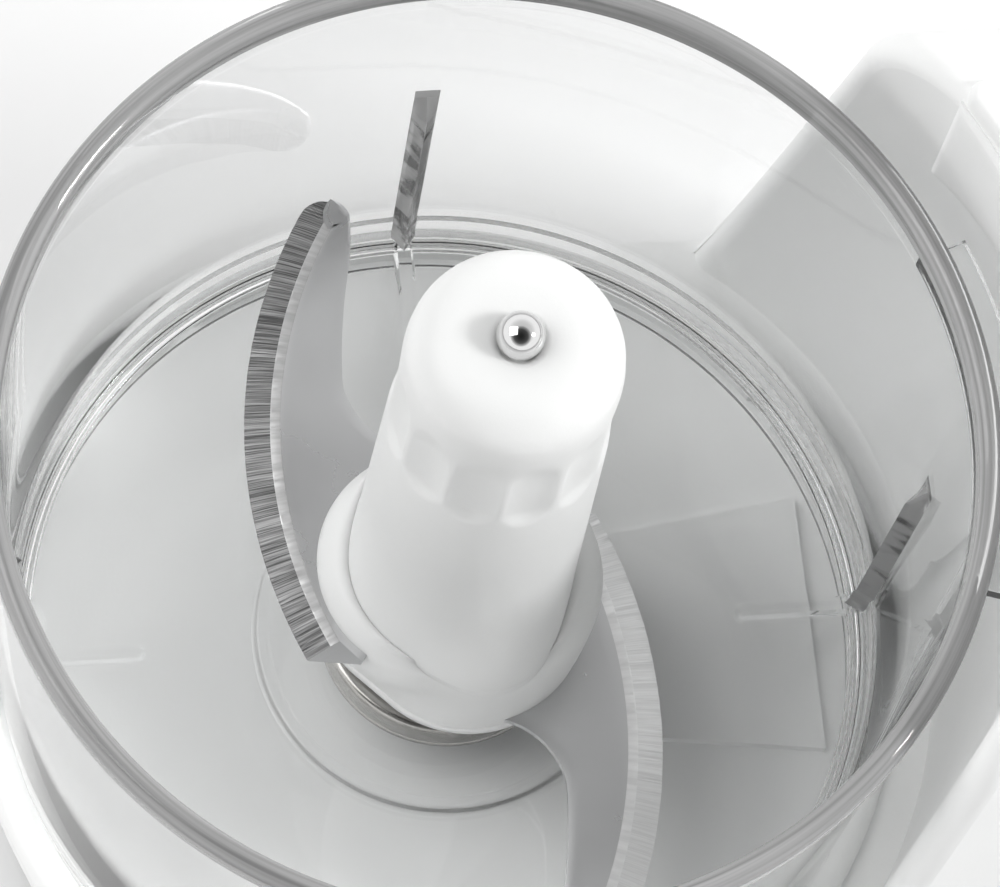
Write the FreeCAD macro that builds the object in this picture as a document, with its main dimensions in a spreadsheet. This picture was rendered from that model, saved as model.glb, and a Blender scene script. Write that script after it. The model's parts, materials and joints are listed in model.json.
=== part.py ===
import FreeCAD, Part
import math
import os
import re
import Sketcher
from FreeCAD import Placement, Rotation, Vector

# A compact belt-driven food processor. Millimetres, +Z up, the table at z = 0. It is
# modelled about the bowl's axis; the motor tower stands behind it towards +Y and the user
# is at -Y. The pieces are written out with the origin under the middle of the whole.

os.makedirs("parts", exist_ok=True)
doc = FreeCAD.newDocument("FoodProcessor")

# ---------------------------------------------------------------- driving dimensions

SIZES = {
    "middle_y": 59.5,
    # housing
    "foot_height": 3, "plate_thick": 2.5, "skin": 2.5, "fit_gap": 0.3,
    "plinth_low_r": 88, "plinth_high_r": 92, "plinth_top": 46.5, "seat_r": 87, "deck": 43,
    "bay_r": 99.5, "bay_floor": 42,
    "tower_half": 88.5, "tower_back": 196, "tower_corner": 60, "tower_lean": 6,
    "tower_top": 188, "tower_round": 24, "bay_round": 4,
    "cap_half": 44, "cap_back": 151, "cap_rise": 2, "cap_sunk": 1,
    # bowl
    "bowl_floor": 56, "bowl_low_r": 84, "bowl_high_r": 85.5, "bowl_wall": 2.5,
    "rim_r": 90, "rim_top": 168, "rib_top": 129, "rib_deep": 3.2, "boss_r": 36.5,
    "tube_r": 18, "bush_r": 12, "post_r": 8,
    # drive under the bowl
    "spindle_r": 4, "bearing_r": 11, "bearing_high": 7, "running": 0.05,
    "driven_r": 40, "driver_r": 8, "belt_thick": 1.6, "belt_low": 11.3, "belt_wide": 8.4,
    "pulley_low": 10, "pulley_high": 21,
    # motor
    "motor_y": 140, "motor_foot_x": 29.5, "motor_foot_y": 23.5, "bracket_z": 42,
    "stator_low": 68, "stator_high": 108, "armature_r": 17.8, "commutator_r": 11,
    "shaft_top": 146, "fan_r": 30,
    # controls
    "knob_y": 127, "knob_r": 18, "knob_high": 15, "switch_shaft_r": 3,
    # knife
    "column_low_r": 21.3, "column_top_r": 19, "column_wall": 6.5, "column_foot": 96.5,
    "column_top": 213, "bore_r": 12,
    "collar_r": 22, "collar_reach": 6.5, "collar_low": 72, "collar_top": 104,
    "lower_blade_z": 76, "upper_blade_z": 96, "blade_thick": 2, "edge_r": 95,
    "bevel_wide": 5, "bevel_deep": 1.7, "ball_r": 4,
}

sheet = doc.addObject("Spreadsheet::Sheet", "Sizes")
for row, (alias, size) in enumerate(SIZES.items(), start=1):
    sheet.set(f"A{row}", alias)
    sheet.set(f"B{row}", str(size))
    sheet.setAlias(f"B{row}", alias)
doc.recompute()

ALIAS = re.compile(r"\b(" + "|".join(sorted(SIZES, key=len, reverse=True)) + r")\b")
TOP = Vector(0, 0, 1)
ALONG_Y = Rotation(Vector(1, 0, 0), -90)
nodes = {}


def bound(formula):
    """The formula with each size's name pointed at its cell."""
    return ALIAS.sub(r"Sizes.\1", str(formula))


def number(formula):
    """What a formula comes to, in millimetres or degrees."""
    result = sheet.evalExpression(bound(formula))
    return float(getattr(result, "Value", result))


def keep(node, thing):
    """Register a finished piece under the name of its file."""
    thing.Label = node
    nodes[node] = thing
    return thing


def place(thing, x=0, y=0, z=0, turn=None):
    if turn is not None:
        thing.Placement = Placement(Vector(), turn)
    for axis, formula in (("x", x), ("y", y), ("z", z)):
        if formula != 0:
            thing.setExpression(f"Placement.Base.{axis}", bound(formula))
    return thing


# ---------------------------------------------------------------- primitives and booleans

def cylinder(name, radius, height, x=0, y=0, z=0, turn=None):
    thing = doc.addObject("Part::Cylinder", name)
    thing.setExpression("Radius", bound(radius))
    thing.setExpression("Height", bound(height))
    return place(thing, x, y, z, turn)


def box(name, wide, deep, high, x=0, y=0, z=0):
    """A box centred on x and y, standing on z."""
    thing = doc.addObject("Part::Box", name)
    thing.setExpression("Length", bound(wide))
    thing.setExpression("Width", bound(deep))
    thing.setExpression("Height", bound(high))
    return place(thing, f"({x}) - ({wide}) / 2", f"({y}) - ({deep}) / 2", z)


def cone(name, low_radius, high_radius, height, x=0, y=0, z=0):
    thing = doc.addObject("Part::Cone", name)
    thing.setExpression("Radius1", bound(low_radius))
    thing.setExpression("Radius2", bound(high_radius))
    thing.setExpression("Height", bound(height))
    return place(thing, x, y, z)


def hexagon(name, across, height, x=0, y=0, z=0):
    thing = doc.addObject("Part::Prism", name)
    thing.Polygon = 6
    thing.setExpression("Circumradius", bound(f"({across}) / sqrt(3)"))
    thing.setExpression("Height", bound(height))
    return place(thing, x, y, z)


def fuse(name, *things):
    joined = doc.addObject("Part::MultiFuse", name)
    joined.Shapes = list(things)
    joined.Refine = True
    return joined


def cut(name, base, *tools):
    tool = tools[0]
    if len(tools) > 1:
        tool = fuse(name + "_tools", *tools)
    result = doc.addObject("Part::Cut", name)
    result.Base = base
    result.Tool = tool
    result.Refine = True
    return result


def group(name, *things):
    """Separate, identical solids that share one node."""
    joined = doc.addObject("Part::Compound", name)
    joined.Links = list(things)
    return joined


# ---------------------------------------------------------------- sketches and bodies

def new_body(name, x=0, y=0, z=0):
    body = doc.addObject("PartDesign::Body", name)
    return place(body, x, y, z)


def datum(body, role):
    return next(feature for feature in body.Origin.OriginFeatures if feature.Role == role)


def new_sketch(body, role="XZ_Plane", lift=0):
    sketch = body.newObject("Sketcher::SketchObject", body.Name + "_sketch")
    sketch.AttachmentSupport = [(datum(body, role), "")]
    sketch.MapMode = "FlatFace"
    if lift != 0:
        sketch.setExpression("AttachmentOffset.Base.z", bound(lift))
    return sketch


def pin(sketch, edge, end, x, y):
    """Hold one end of an edge at x, y from the sketch's origin."""
    for direction, axis, formula in (("DistanceX", -2, x), ("DistanceY", -1, y)):
        size = number(formula)
        if abs(size) < 1e-9:
            sketch.addConstraint(Sketcher.Constraint("PointOnObject", edge, end, axis))
            continue
        index = sketch.addConstraint(Sketcher.Constraint(direction, -1, 1, edge, end, size))
        sketch.setExpression(f"Constraints[{index}]", bound(formula))


def arc_between(start, finish, bend):
    """The short arc of radius abs(bend); a positive bend bulges to the left of the way."""
    chord = finish - start
    left = Vector(-chord.y, chord.x, 0).normalize()
    drop = math.sqrt(max(bend * bend - chord.Length ** 2 / 4, 0))
    side = 1 if bend > 0 else -1
    centre = (start + finish) * 0.5 - left * (side * drop)
    angles = [math.atan2(point.y - centre.y, point.x - centre.x) for point in (start, finish)]
    if bend > 0:
        angles.reverse()
    circle = Part.Circle(centre, TOP, abs(bend))
    return Part.ArcOfCircle(circle, angles[0], angles[1])


def outline(sketch, corners):
    """A closed outline. A corner is (x, y), or (x, y, bend) where an arc leads to the next."""
    points = [Vector(number(corner[0]), number(corner[1]), 0) for corner in corners]
    first = sketch.GeometryCount
    ends = []
    for index, corner in enumerate(corners):
        start = points[index]
        finish = points[(index + 1) % len(points)]
        if len(corner) == 3:
            bend = number(corner[2])
            edge = sketch.addGeometry(arc_between(start, finish, bend), False)
            ends.append((2, 1) if bend > 0 else (1, 2))
            radius = sketch.addConstraint(Sketcher.Constraint("Radius", edge, abs(bend)))
            sketch.setExpression(f"Constraints[{radius}]", bound(f"abs({corner[2]})"))
        else:
            sketch.addGeometry(Part.LineSegment(start, finish), False)
            ends.append((1, 2))
    for index, corner in enumerate(corners):
        following = (index + 1) % len(corners)
        sketch.addConstraint(Sketcher.Constraint(
            "Coincident", first + index, ends[index][1], first + following, ends[following][0]))
        pin(sketch, first + index, ends[index][0], corner[0], corner[1])


def ring_outline(sketch, radius):
    """A circle about the sketch's origin."""
    edge = sketch.addGeometry(Part.Circle(Vector(), TOP, number(radius)), False)
    sketch.addConstraint(Sketcher.Constraint("Coincident", edge, 3, -1, 1))
    index = sketch.addConstraint(Sketcher.Constraint("Radius", edge, number(radius)))
    sketch.setExpression(f"Constraints[{index}]", bound(radius))


def pad(body, sketch, length, lean=0):
    feature = body.newObject("PartDesign::Pad", body.Name + "_pad")
    feature.Profile = sketch
    feature.setExpression("Length", bound(length))
    if lean != 0:
        feature.setExpression("TaperAngle", bound(lean))
    body.Tip = feature
    doc.recompute()
    return feature


def pocket(body, sketch, depth):
    """Cut from the sketch down to the given depth; raises if nothing was cut."""
    before = body.Shape.Volume
    feature = body.newObject("PartDesign::Pocket", body.Name + "_pocket")
    feature.Profile = sketch
    feature.setExpression("Length", bound(depth))
    body.Tip = feature
    doc.recompute()
    if body.Shape.Volume > before - 1e-3:
        feature.Reversed = True
        doc.recompute()
    if body.Shape.Volume > before - 1e-3:
        raise RuntimeError(body.Name + ": the pocket cuts nothing")
    return feature


def turned(name, corners, x=0, y=0, z=0):
    """A body turned about its own Z from a profile of (radius, height) corners."""
    body = new_body(name, x, y, z)
    sketch = new_sketch(body)
    outline(sketch, corners)
    feature = body.newObject("PartDesign::Revolution", name + "_turn")
    feature.Profile = sketch
    feature.ReferenceAxis = (sketch, ["V_Axis"])
    feature.Angle = 360
    body.Tip = feature
    doc.recompute()
    return body


def ring(name, inner, outer, low, high, x=0, y=0):
    return turned(name, [(inner, low), (outer, low), (outer, high), (inner, high)], x, y)


def plate(name, corners, low, thick, x=0, y=0, lean=0):
    """A body padded up from a plan outline at height low."""
    body = new_body(name, x, y)
    sketch = new_sketch(body, "XY_Plane", low)
    outline(sketch, corners)
    pad(body, sketch, thick, lean)
    return body


def repeated(body, feature, count):
    """Repeat a feature evenly about the body's own Z."""
    pattern = body.newObject("PartDesign::PolarPattern", body.Name + "_pattern")
    pattern.Originals = [feature]
    pattern.Axis = (datum(body, "Z_Axis"), [""])
    pattern.Angle = 360
    pattern.Occurrences = count
    body.Tip = pattern
    doc.recompute()
    return pattern


def softened(body, radius, wanted):
    """Round the edges of the tip that pass the test."""
    tip = body.Tip
    chosen = [f"Edge{index}" for index, edge in enumerate(tip.Shape.Edges, 1) if wanted(edge)]
    feature = body.newObject("PartDesign::Fillet", body.Name + "_round")
    feature.Base = (tip, chosen)
    feature.setExpression("Radius", bound(radius))
    body.Tip = feature
    doc.recompute()
    return feature


def eased(name, base, radius, wanted):
    """A plain solid with the edges that pass the test rounded."""
    doc.recompute()
    size = number(radius)
    feature = doc.addObject("Part::Fillet", name)
    feature.Base = base
    chosen = [index for index, edge in enumerate(base.Shape.Edges, 1) if wanted(edge)]
    feature.Edges = [(index, size, size) for index in chosen]
    return feature


def level(edge, height):
    bounds = edge.BoundBox
    return abs(bounds.ZMin - height) < 1e-4 and abs(bounds.ZMax - height) < 1e-4


def on_bay_wall(edge):
    """True for the edges of the tower that the bowl's bay cuts, above its floor."""
    reaches = [math.hypot(point.x, point.y) for point in edge.discretize(5)]
    on_wall = all(abs(reach - number("bay_r")) < 0.05 for reach in reaches)
    return on_wall and edge.BoundBox.ZMax > number("bay_floor") + 0.5


def around(count, radius, first=0):
    """Evenly spaced x, y places on a circle."""
    for index in range(count):
        angle = math.radians(first + 360 * index / count)
        yield index + 1, radius * math.cos(angle), radius * math.sin(angle)


# ---------------------------------------------------------------- housing

SCREW_PLACES = [(-66, -20), (66, -20), (-58, 62), (58, 62), (-65, 172), (65, 172)]
FOOT_PLACES = {
    "left_front": (-44, -54), "right_front": (44, -54),
    "left_back": (-62, 146), "right_back": (62, 146),
}
LUG_RING = "seat_r - 1.2"
LOCK_X = -30
LOCK_Y = 106


def tower_block(name, inset, low, high):
    """The tower's leaning block with its rounded top, inset all round."""
    half = f"tower_half - ({inset})"
    back = f"tower_back - ({inset})"
    bend = f"tower_corner - ({inset})"
    corners = [
        (f"-({half})", 0), (half, 0), (half, "tower_back - tower_corner", f"-({bend})"),
        ("tower_half - tower_corner", back), ("tower_corner - tower_half", back, f"-({bend})"),
        (f"-({half})", "tower_back - tower_corner"),
    ]
    body = plate(name, corners, low, f"({high}) - ({low})", lean="-tower_lean")
    crown = number(high)
    softened(body, f"tower_round - ({inset})", lambda edge: level(edge, crown))
    return body


def cap_outline(inset):
    """The top panel's plan: its front follows the bay, its back corners are round."""
    half = f"cap_half - {inset}"
    front = f"sqrt((bay_r + 3.5) ^ 2 - ({half}) ^ 2) + {inset}"
    back = f"cap_back - {inset}"
    return [
        (f"-({half})", front, "bay_r + 3.5"), (half, front), (half, "cap_back - 8", f"{inset} - 8"),
        ("cap_half - 8", back), ("8 - cap_half", back, f"{inset} - 8"), (f"-({half})", "cap_back - 8"),
    ]


def housing_outside():
    sharp_tower = cut(
        "sharp_tower", tower_block("tower_outer", 0, "foot_height", "tower_top"),
        cylinder("bay", "bay_r", "tower_top", z="bay_floor"))
    tower = eased("tower_outside", sharp_tower, "bay_round", on_bay_wall)
    plinth = turned("plinth_outer", [
        (0, "foot_height"), ("plinth_low_r - 3", "foot_height", -3.2), ("plinth_low_r", "foot_height + 3"),
        ("plinth_high_r", "deck - 4"), ("plinth_high_r", "plinth_top - 3.5", -3.6),
        ("plinth_high_r - 3.5", "plinth_top"), ("seat_r", "plinth_top"), ("seat_r", "deck"), (11, "deck"),
        (11, "deck + 4"), (0, "deck + 4")])
    block = plate("belt_cover", [(-20, 30), (20, 30), (26.5, 75), (-26.5, 75)], "deck - 1", 3.5)
    return fuse("housing_outside", tower, plinth, block)


def housing_room():
    """The hollow inside the housing, with the screw posts left standing in it."""
    tower = cut(
        "tower_room", tower_block("tower_inner", "skin", "foot_height - 1", "tower_top - skin"),
        cylinder("bay_skin", "bay_r + skin", "tower_top", z="bay_floor - skin"))
    plinth = turned("plinth_room", [
        (0, "foot_height - 1"), ("plinth_low_r - skin", "foot_height - 1"),
        ("plinth_high_r - skin", "deck - 6"), ("plinth_high_r - skin - 3", "deck - skin"),
        (0, "deck - skin")])
    posts = []
    for index, (x, y) in enumerate(SCREW_PLACES, 1):
        low = "foot_height + plate_thick"
        posts.append(cylinder(f"post_{index}", 4.5, "deck - foot_height", x, y, low))
    return cut("housing_room", fuse("rooms", tower, plinth), *posts)


def housing():
    holes = [
        cylinder("seal_hole", 8, 20, z="deck - skin - 1"),
        cylinder("lock_hole", "3 + fit_gap", 10, LOCK_X, LOCK_Y, "tower_top - 6"),
        cylinder("knob_hole", "switch_shaft_r + 0.5", 10, y="knob_y", z="tower_top - 6"),
        cylinder("gland_hole", 6, 20, x=20, y="tower_back - 14", z=22, turn=ALONG_Y),
        plate("cap_recess", cap_outline(0), "tower_top - cap_sunk", 5),
    ]
    for index in range(9):
        holes.append(box(f"vent_{index + 1}", 2.6, 40, 52, x=7 * (index - 4), y="tower_back - 8", z=66))
    for index, x, y in around(4, number(LUG_RING), 33):
        holes.append(cylinder(f"notch_{index}", 4, 5, x, y, "deck"))
    for index, (x, y) in enumerate(SCREW_PLACES, 1):
        holes.append(cylinder(f"post_hole_{index}", 1.5, 17, x, y, "foot_height + plate_thick"))
    return keep("housing", cut("housing_shell", housing_outside(), housing_room(), *holes))


def tower_cap():
    panel = plate("cap_panel", cap_outline(0.2), "tower_top - cap_sunk", "cap_sunk + cap_rise")
    crown = number("tower_top + cap_rise")
    softened(panel, "cap_rise - 0.6", lambda edge: level(edge, crown))
    keep("tower_cap", cut(
        "cap_drilled", panel,
        cylinder("cap_knob_hole", "switch_shaft_r + 0.5", 10, y="knob_y", z="tower_top - 5"),
        cylinder("cap_lock_hole", "3 + fit_gap", 10, LOCK_X, LOCK_Y, "tower_top - 5")))


def base_plate():
    half = "tower_half - skin - 0.5"
    back = "tower_back - skin - 0.5"
    bend = "tower_corner - skin - 0.5"
    tail = plate("plate_tail", [
        (f"-({half})", 0), (half, 0), (half, "tower_back - tower_corner", f"-({bend})"),
        ("tower_half - tower_corner", back), ("tower_corner - tower_half", back, f"-({bend})"),
        (f"-({half})", "tower_back - tower_corner")], "foot_height", "plate_thick")
    solids = [cylinder("plate_disc", "plinth_low_r - skin - 0.3", "plate_thick", z="foot_height"), tail]
    for index, x, y in motor_corners():
        high = "bracket_z - 4 - foot_height"
        solids.append(cylinder(f"motor_post_{index}", 4.5, high, x, y, "foot_height"))
    holes = []
    for index in range(7):
        holes.append(box(f"air_slot_{index + 1}", 3, 34, 6, x=6 * (index - 3), y="motor_y", z=2))
    for name, (x, y) in FOOT_PLACES.items():
        holes.append(cylinder(f"foot_seat_{name}", 9, 1, x, y, "foot_height"))
    for index, (x, y) in enumerate(SCREW_PLACES, 1):
        holes.append(cylinder(f"screw_hole_{index}", 1.7, 8, x, y, 1))
        holes.append(cylinder(f"screw_sink_{index}", 3.4, 1.8, x, y, "foot_height - 0.1"))
    keep("base_plate", cut("plate_drilled", fuse("plate_solid", *solids), *holes))


def feet_and_screws():
    for name, (x, y) in FOOT_PLACES.items():
        keep(f"foot_{name}", turned(f"foot_{name}_body", [
            (0, 0), (8.2, 0), (9, 0.8), (9, "foot_height + 1"), (0, "foot_height + 1")], x, y))
    screws = []
    for index, (x, y) in enumerate(SCREW_PLACES, 1):
        screws.append(turned(f"base_screw_{index}", [
            (0, "foot_height"), (1.2, "foot_height"), (2.8, "foot_height - 0.4"),
            (3.2, "foot_height + 0.2"), (3.2, "foot_height + 1.7"), (1.5, "foot_height + 1.7"),
            (1.5, 21), (0, 22)], x, y))
    keep("base_screws", group("base_screw_group", *screws))


# ---------------------------------------------------------------- drive under the bowl

def bearing(name, low, y=0):
    """A shielded ball bearing as one ring, with a groove where its races meet."""
    high = f"{low} + bearing_high"
    return keep(name, turned(name + "_body", [
        ("spindle_r + running", low), (6, low), (6.3, f"{low} + 0.5"), (9, f"{low} + 0.5"),
        (9.3, low), ("bearing_r", low), ("bearing_r", high), (9.3, high), (9, f"{high} - 0.5"),
        (6.3, f"{high} - 0.5"), (6, high), ("spindle_r + running", high)], y=y))


def spindle_group():
    top = "deck - skin"
    keep("bearing_carrier", turned("carrier_body", [
        (9.5, 22.5), ("bearing_r + 3.5", 22.5), ("bearing_r + 3.5", f"{top} - 2.5"), (27, f"{top} - 2.5"),
        (27, top), ("bearing_r", top), ("bearing_r", 24), (9.5, 24)]))
    screws = []
    for index, x, y in around(3, 21, 30):
        screws.append(turned(f"carrier_screw_{index}", [
            (0, f"{top} - 4.5"), (2.6, f"{top} - 4.5"), (3, f"{top} - 4"), (3, f"{top} - 2.5"),
            (0, f"{top} - 2.5")], x, y))
    keep("carrier_screws", group("carrier_screw_group", *screws))
    bearing("spindle_bearing_lower", "24")
    bearing("spindle_bearing_upper", "33.3")
    keep("spindle_seal", ring("seal_body", "spindle_r + running", 8, "deck + 0.5", "deck + 3.5"))

    keep("spindle", fuse(
        "spindle_solid", cylinder("spindle_rod", "spindle_r", "deck - 3", z=7.5),
        hexagon("spindle_hex", 6.9, 7, z="deck + 4")))
    keep("spindle_circlip", ring("circlip_body", "spindle_r", 6.5, 41, 42))
    keep("spindle_nut", cut(
        "nut_solid", hexagon("nut_hex", 12, 1.7, z=7.8), cylinder("nut_bore", "spindle_r", 4, z=7)))

    wheel = turned("driven_wheel", [
        ("spindle_r", 9.5), (9, 9.5), (9, 13.5), ("driven_r - 3", 13.5), ("driven_r - 3", "pulley_low"),
        ("driven_r + 1.5", "pulley_low"), ("driven_r + 1.5", "pulley_low + 0.6"),
        ("driven_r", "pulley_low + 0.8"), ("driven_r", "pulley_high - 0.8"),
        ("driven_r + 1.5", "pulley_high - 0.6"), ("driven_r + 1.5", "pulley_high"),
        ("driven_r - 3", "pulley_high"), ("driven_r - 3", 16), (9, 16), (9, "pulley_high"),
        ("spindle_r", "pulley_high")])
    windows = [cylinder(f"window_{index}", 8.5, 30, x, y, 5) for index, x, y in around(6, 23)]
    keep("driven_pulley", cut("driven_wheel_lightened", wheel, *windows))


def belt_loop(grow):
    """The belt's path round both pulleys, grown outwards; each bend stays under a half turn."""
    large = f"(driven_r + fit_gap + {grow})"
    small = f"(driver_r + fit_gap + {grow})"
    sine = "(driven_r - driver_r) / motor_y"
    cosine = f"sqrt(1 - ({sine}) ^ 2)"
    return [
        (0, f"-{large}", f"-{large}"), (f"{large} * {cosine}", f"{large} * {sine}"),
        (f"{small} * {cosine}", f"motor_y + {small} * {sine}", f"-{small}"),
        (0, f"motor_y + {small}", f"-{small}"),
        (f"-{small} * {cosine}", f"motor_y + {small} * {sine}"),
        (f"-{large} * {cosine}", f"{large} * {sine}", f"-{large}"),
    ]


def drive_belt():
    body = plate("belt_body", belt_loop("belt_thick"), "belt_low", "belt_wide")
    inner = new_sketch(body, "XY_Plane", "belt_low + belt_wide")
    outline(inner, belt_loop("0"))
    pocket(body, inner, "belt_wide")
    keep("drive_belt", body)


# ---------------------------------------------------------------- motor in the tower

def motor_corners():
    corners = [(-1, -1), (1, -1), (1, 1), (-1, 1)]
    for index, (across, along) in enumerate(corners, 1):
        yield index, f"{across} * motor_foot_x", f"motor_y + {along} * motor_foot_y"


def motor_frame():
    mounts = []
    for index, x, y in motor_corners():
        mounts.append(ring(f"mount_{index}", 1.5, 5.5, "bracket_z - 4", "bracket_z", x, y))
    keep("motor_mounts", group("mount_group", *mounts))

    solids = [box("lower_frame", 70, 56, 3, y="motor_y", z="bracket_z"),
              cylinder("lower_cup", 13.5, 10, y="motor_y", z="bracket_z")]
    for index, x, y in motor_corners():
        solids.append(box(f"lower_leg_{index}", 5, 5, "stator_low - bracket_z", x, y, "bracket_z"))
    holes = [cylinder("lower_cup_bore", "bearing_r", 10, y="motor_y", z="bracket_z + 1.5"),
             cylinder("lower_cup_hole", 6.5, 10, y="motor_y", z="bracket_z - 1")]
    for index, x, y in motor_corners():
        inner_y = f"motor_y + (({y}) - motor_y) * 0.72"
        holes.append(cylinder(f"lower_air_{index}", 6, 10, f"({x}) * 0.72", inner_y, 38))
    keep("lower_motor_bracket", cut("lower_bracket_solid", fuse("lower_bracket_parts", *solids), *holes))
    bearing("motor_bearing_lower", "bracket_z + 1.5", "motor_y")

    solids = [box("upper_frame", 64, 22, 3, y="motor_y", z=132),
              cylinder("upper_cup", 13.5, 10, y="motor_y", z=132)]
    for side in (-1, 1):
        leg = box(f"upper_leg_{side + 2}", 4, 14, "134 - stator_high", 30 * side, "motor_y", "stator_high")
        solids.append(leg)
    keep("upper_motor_bracket", cut(
        "upper_bracket_solid", fuse("upper_bracket_parts", *solids),
        cylinder("upper_cup_bore", "bearing_r", 12, y="motor_y", z=133.5),
        cylinder("upper_cup_hole", 6.5, 10, y="motor_y", z=130)))
    bearing("motor_bearing_upper", "133.5", "motor_y")


def stator():
    block = box("laminations", 66, 58, "stator_high - stator_low", y="motor_y", z="stator_low")
    cores = [cylinder("stator_bore", "armature_r + 0.6", 60, y="motor_y", z="stator_low - 5")]
    coils = []
    for side in (-1, 1):
        cores.append(box(f"coil_window_{side + 2}", 8, 34, 60, 23 * side, "motor_y", "stator_low - 5"))
        high = "stator_high - stator_low + 12"
        coils.append(box(f"coil_{side + 2}", 7.6, 33.6, high, 23 * side, "motor_y", "stator_low - 6"))
    keep("stator", cut("stator_solid", block, *cores))
    keep("field_coils", group("coil_group", *coils))


def brushes():
    holders = [ring("brush_plate", 14, 26, 129, 132, y="motor_y")]
    wells = []
    carbons = []
    for side in (-1, 1):
        along = f"motor_y + {side} * 19"
        holders.append(box(f"brush_tube_{side + 2}", 8, 13, 13, y=along, z=117))
        wells.append(box(f"brush_well_{side + 2}", 5, 15, 7, y=along, z=119))
        carbons.append(box(f"brush_{side + 2}", 4.8, 12, 6.8, y=f"motor_y + {side} * 17.2", z=119.1))
    keep("brush_carrier", cut("brush_carrier_solid", fuse("brush_parts", *holders), *wells))
    keep("carbon_brushes", group("brush_group", *carbons))


def rotor():
    keep("motor_shaft", cylinder("motor_rod", "spindle_r", "shaft_top - 8", y="motor_y", z=8))
    keep("motor_pulley", turned("motor_pulley_body", [
        ("spindle_r", "pulley_low"), ("driver_r + 1.3", "pulley_low"),
        ("driver_r + 1.3", "pulley_low + 0.6"), ("driver_r", "pulley_low + 0.8"),
        ("driver_r", "pulley_high - 0.8"), ("driver_r + 1.3", "pulley_high - 0.6"),
        ("driver_r + 1.3", "pulley_high"), ("spindle_r", "pulley_high")], y="motor_y"))
    keep("armature_core", ring(
        "armature_body", "spindle_r", "armature_r", "stator_low", "stator_high", y="motor_y"))
    ends = []
    spans = [("stator_low - 6", "stator_low"), ("stator_high", "stator_high + 7")]
    for index, (low, high) in enumerate(spans, 1):
        ends.append(turned(f"winding_end_{index}", [
            ("spindle_r", low), (13, low), (15.5, f"{low} + 2.5"), (15.5, f"{high} - 2.5"), (13, high),
            ("spindle_r", high)], y="motor_y"))
    keep("armature_windings", group("winding_group", *ends))
    keep("commutator", ring("commutator_body", "spindle_r", "commutator_r - 0.1", 116, 128, y="motor_y"))

    body = new_body("fan_body", y="motor_y")
    sketch = new_sketch(body)
    outline(sketch, [
        ("spindle_r", 53), ("fan_r", 53), ("fan_r", 54.2), (8, 54.2), (8, 61), ("spindle_r", 61)])
    disc = body.newObject("PartDesign::Revolution", "fan_turn")
    disc.Profile = sketch
    disc.ReferenceAxis = (sketch, ["V_Axis"])
    disc.Angle = 360
    body.Tip = disc
    doc.recompute()
    vane = new_sketch(body, "XY_Plane", 54)
    outline(vane, [(10, -0.6, -30), ("fan_r - 1.5", 5), ("fan_r - 1.5", 6.4, 30), (10, 0.8)])
    repeated(body, pad(body, vane, 6.5), 9)
    keep("cooling_fan", body)


# ---------------------------------------------------------------- electrics and controls

def electrics():
    plate_top = "foot_height + plate_thick"
    keep("suppression_capacitor", box("capacitor_box", 12, 30, 18, -56, "motor_y - 10", plate_top))
    keep("terminal_block", box("terminal_box", 26, 12, 13, 8, "tower_back - 28", plate_top))
    gland = turned("gland_body", [
        (3.2, -8), (9, -8), (9, -3.2), (5.8, -3.2), (5.8, 2.2), (8.5, 2.2), (8, 4.4), (5.2, 18), (3.2, 18)])
    gland.Placement = Placement(Vector(20, 0, 22), ALONG_Y)
    gland.setExpression("Placement.Base.y", bound("tower_back - 3"))
    keep("cord_gland", gland)

    keep("rotary_switch", cut(
        "switch_solid", box("switch_box", 26, 26, 14, y="knob_y", z="tower_top - skin - 14"),
        cylinder("switch_bore", "switch_shaft_r + 0.35", 20, y="knob_y", z="tower_top - skin - 12")))
    shaft_low = "tower_top - skin - 11"
    shaft_high = f"tower_top + 12 - ({shaft_low})"
    keep("knob_shaft", cylinder("knob_rod", "switch_shaft_r", shaft_high, y="knob_y", z=shaft_low))

    low = "tower_top + cap_rise + 0.4"
    skirt = turned("knob_skirt", [
        (0, low), ("knob_r", low), ("knob_r", f"{low} + 3", -60), ("knob_r - 2", f"{low} + 7", -2),
        ("knob_r - 4", f"{low} + 8.5"), (0, f"{low} + 8.5")], y="knob_y")
    grip = box("knob_grip", 9, "2 * knob_r - 6", "knob_high", y="knob_y", z=low)
    keep("control_knob", cut(
        "knob_solid", fuse("knob_parts", skirt, grip),
        cylinder("knob_bore", "switch_shaft_r", 12, y="knob_y", z="tower_top")))
    keep("knob_pointer", box("pointer_bar", 2, 7, 0.8, y="knob_y - knob_r + 7", z=f"{low} + knob_high"))


def spring(name, x, y, low, high, radius, wire, turns):
    """A compression spring standing on z = low."""
    pitch = (high - low - wire * 2) / turns
    path = Part.makeHelix(pitch, pitch * turns, radius)
    profile = Part.Wire(Part.makeCircle(wire, Vector(radius, 0, 0), Vector(0, 1, 0)))
    coil = Part.Wire(path).makePipeShell([profile], True, True)
    feature = doc.addObject("Part::Feature", name)
    feature.Shape = coil
    feature.Placement = Placement(Vector(x, y, low + wire), Rotation())
    return feature


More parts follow.
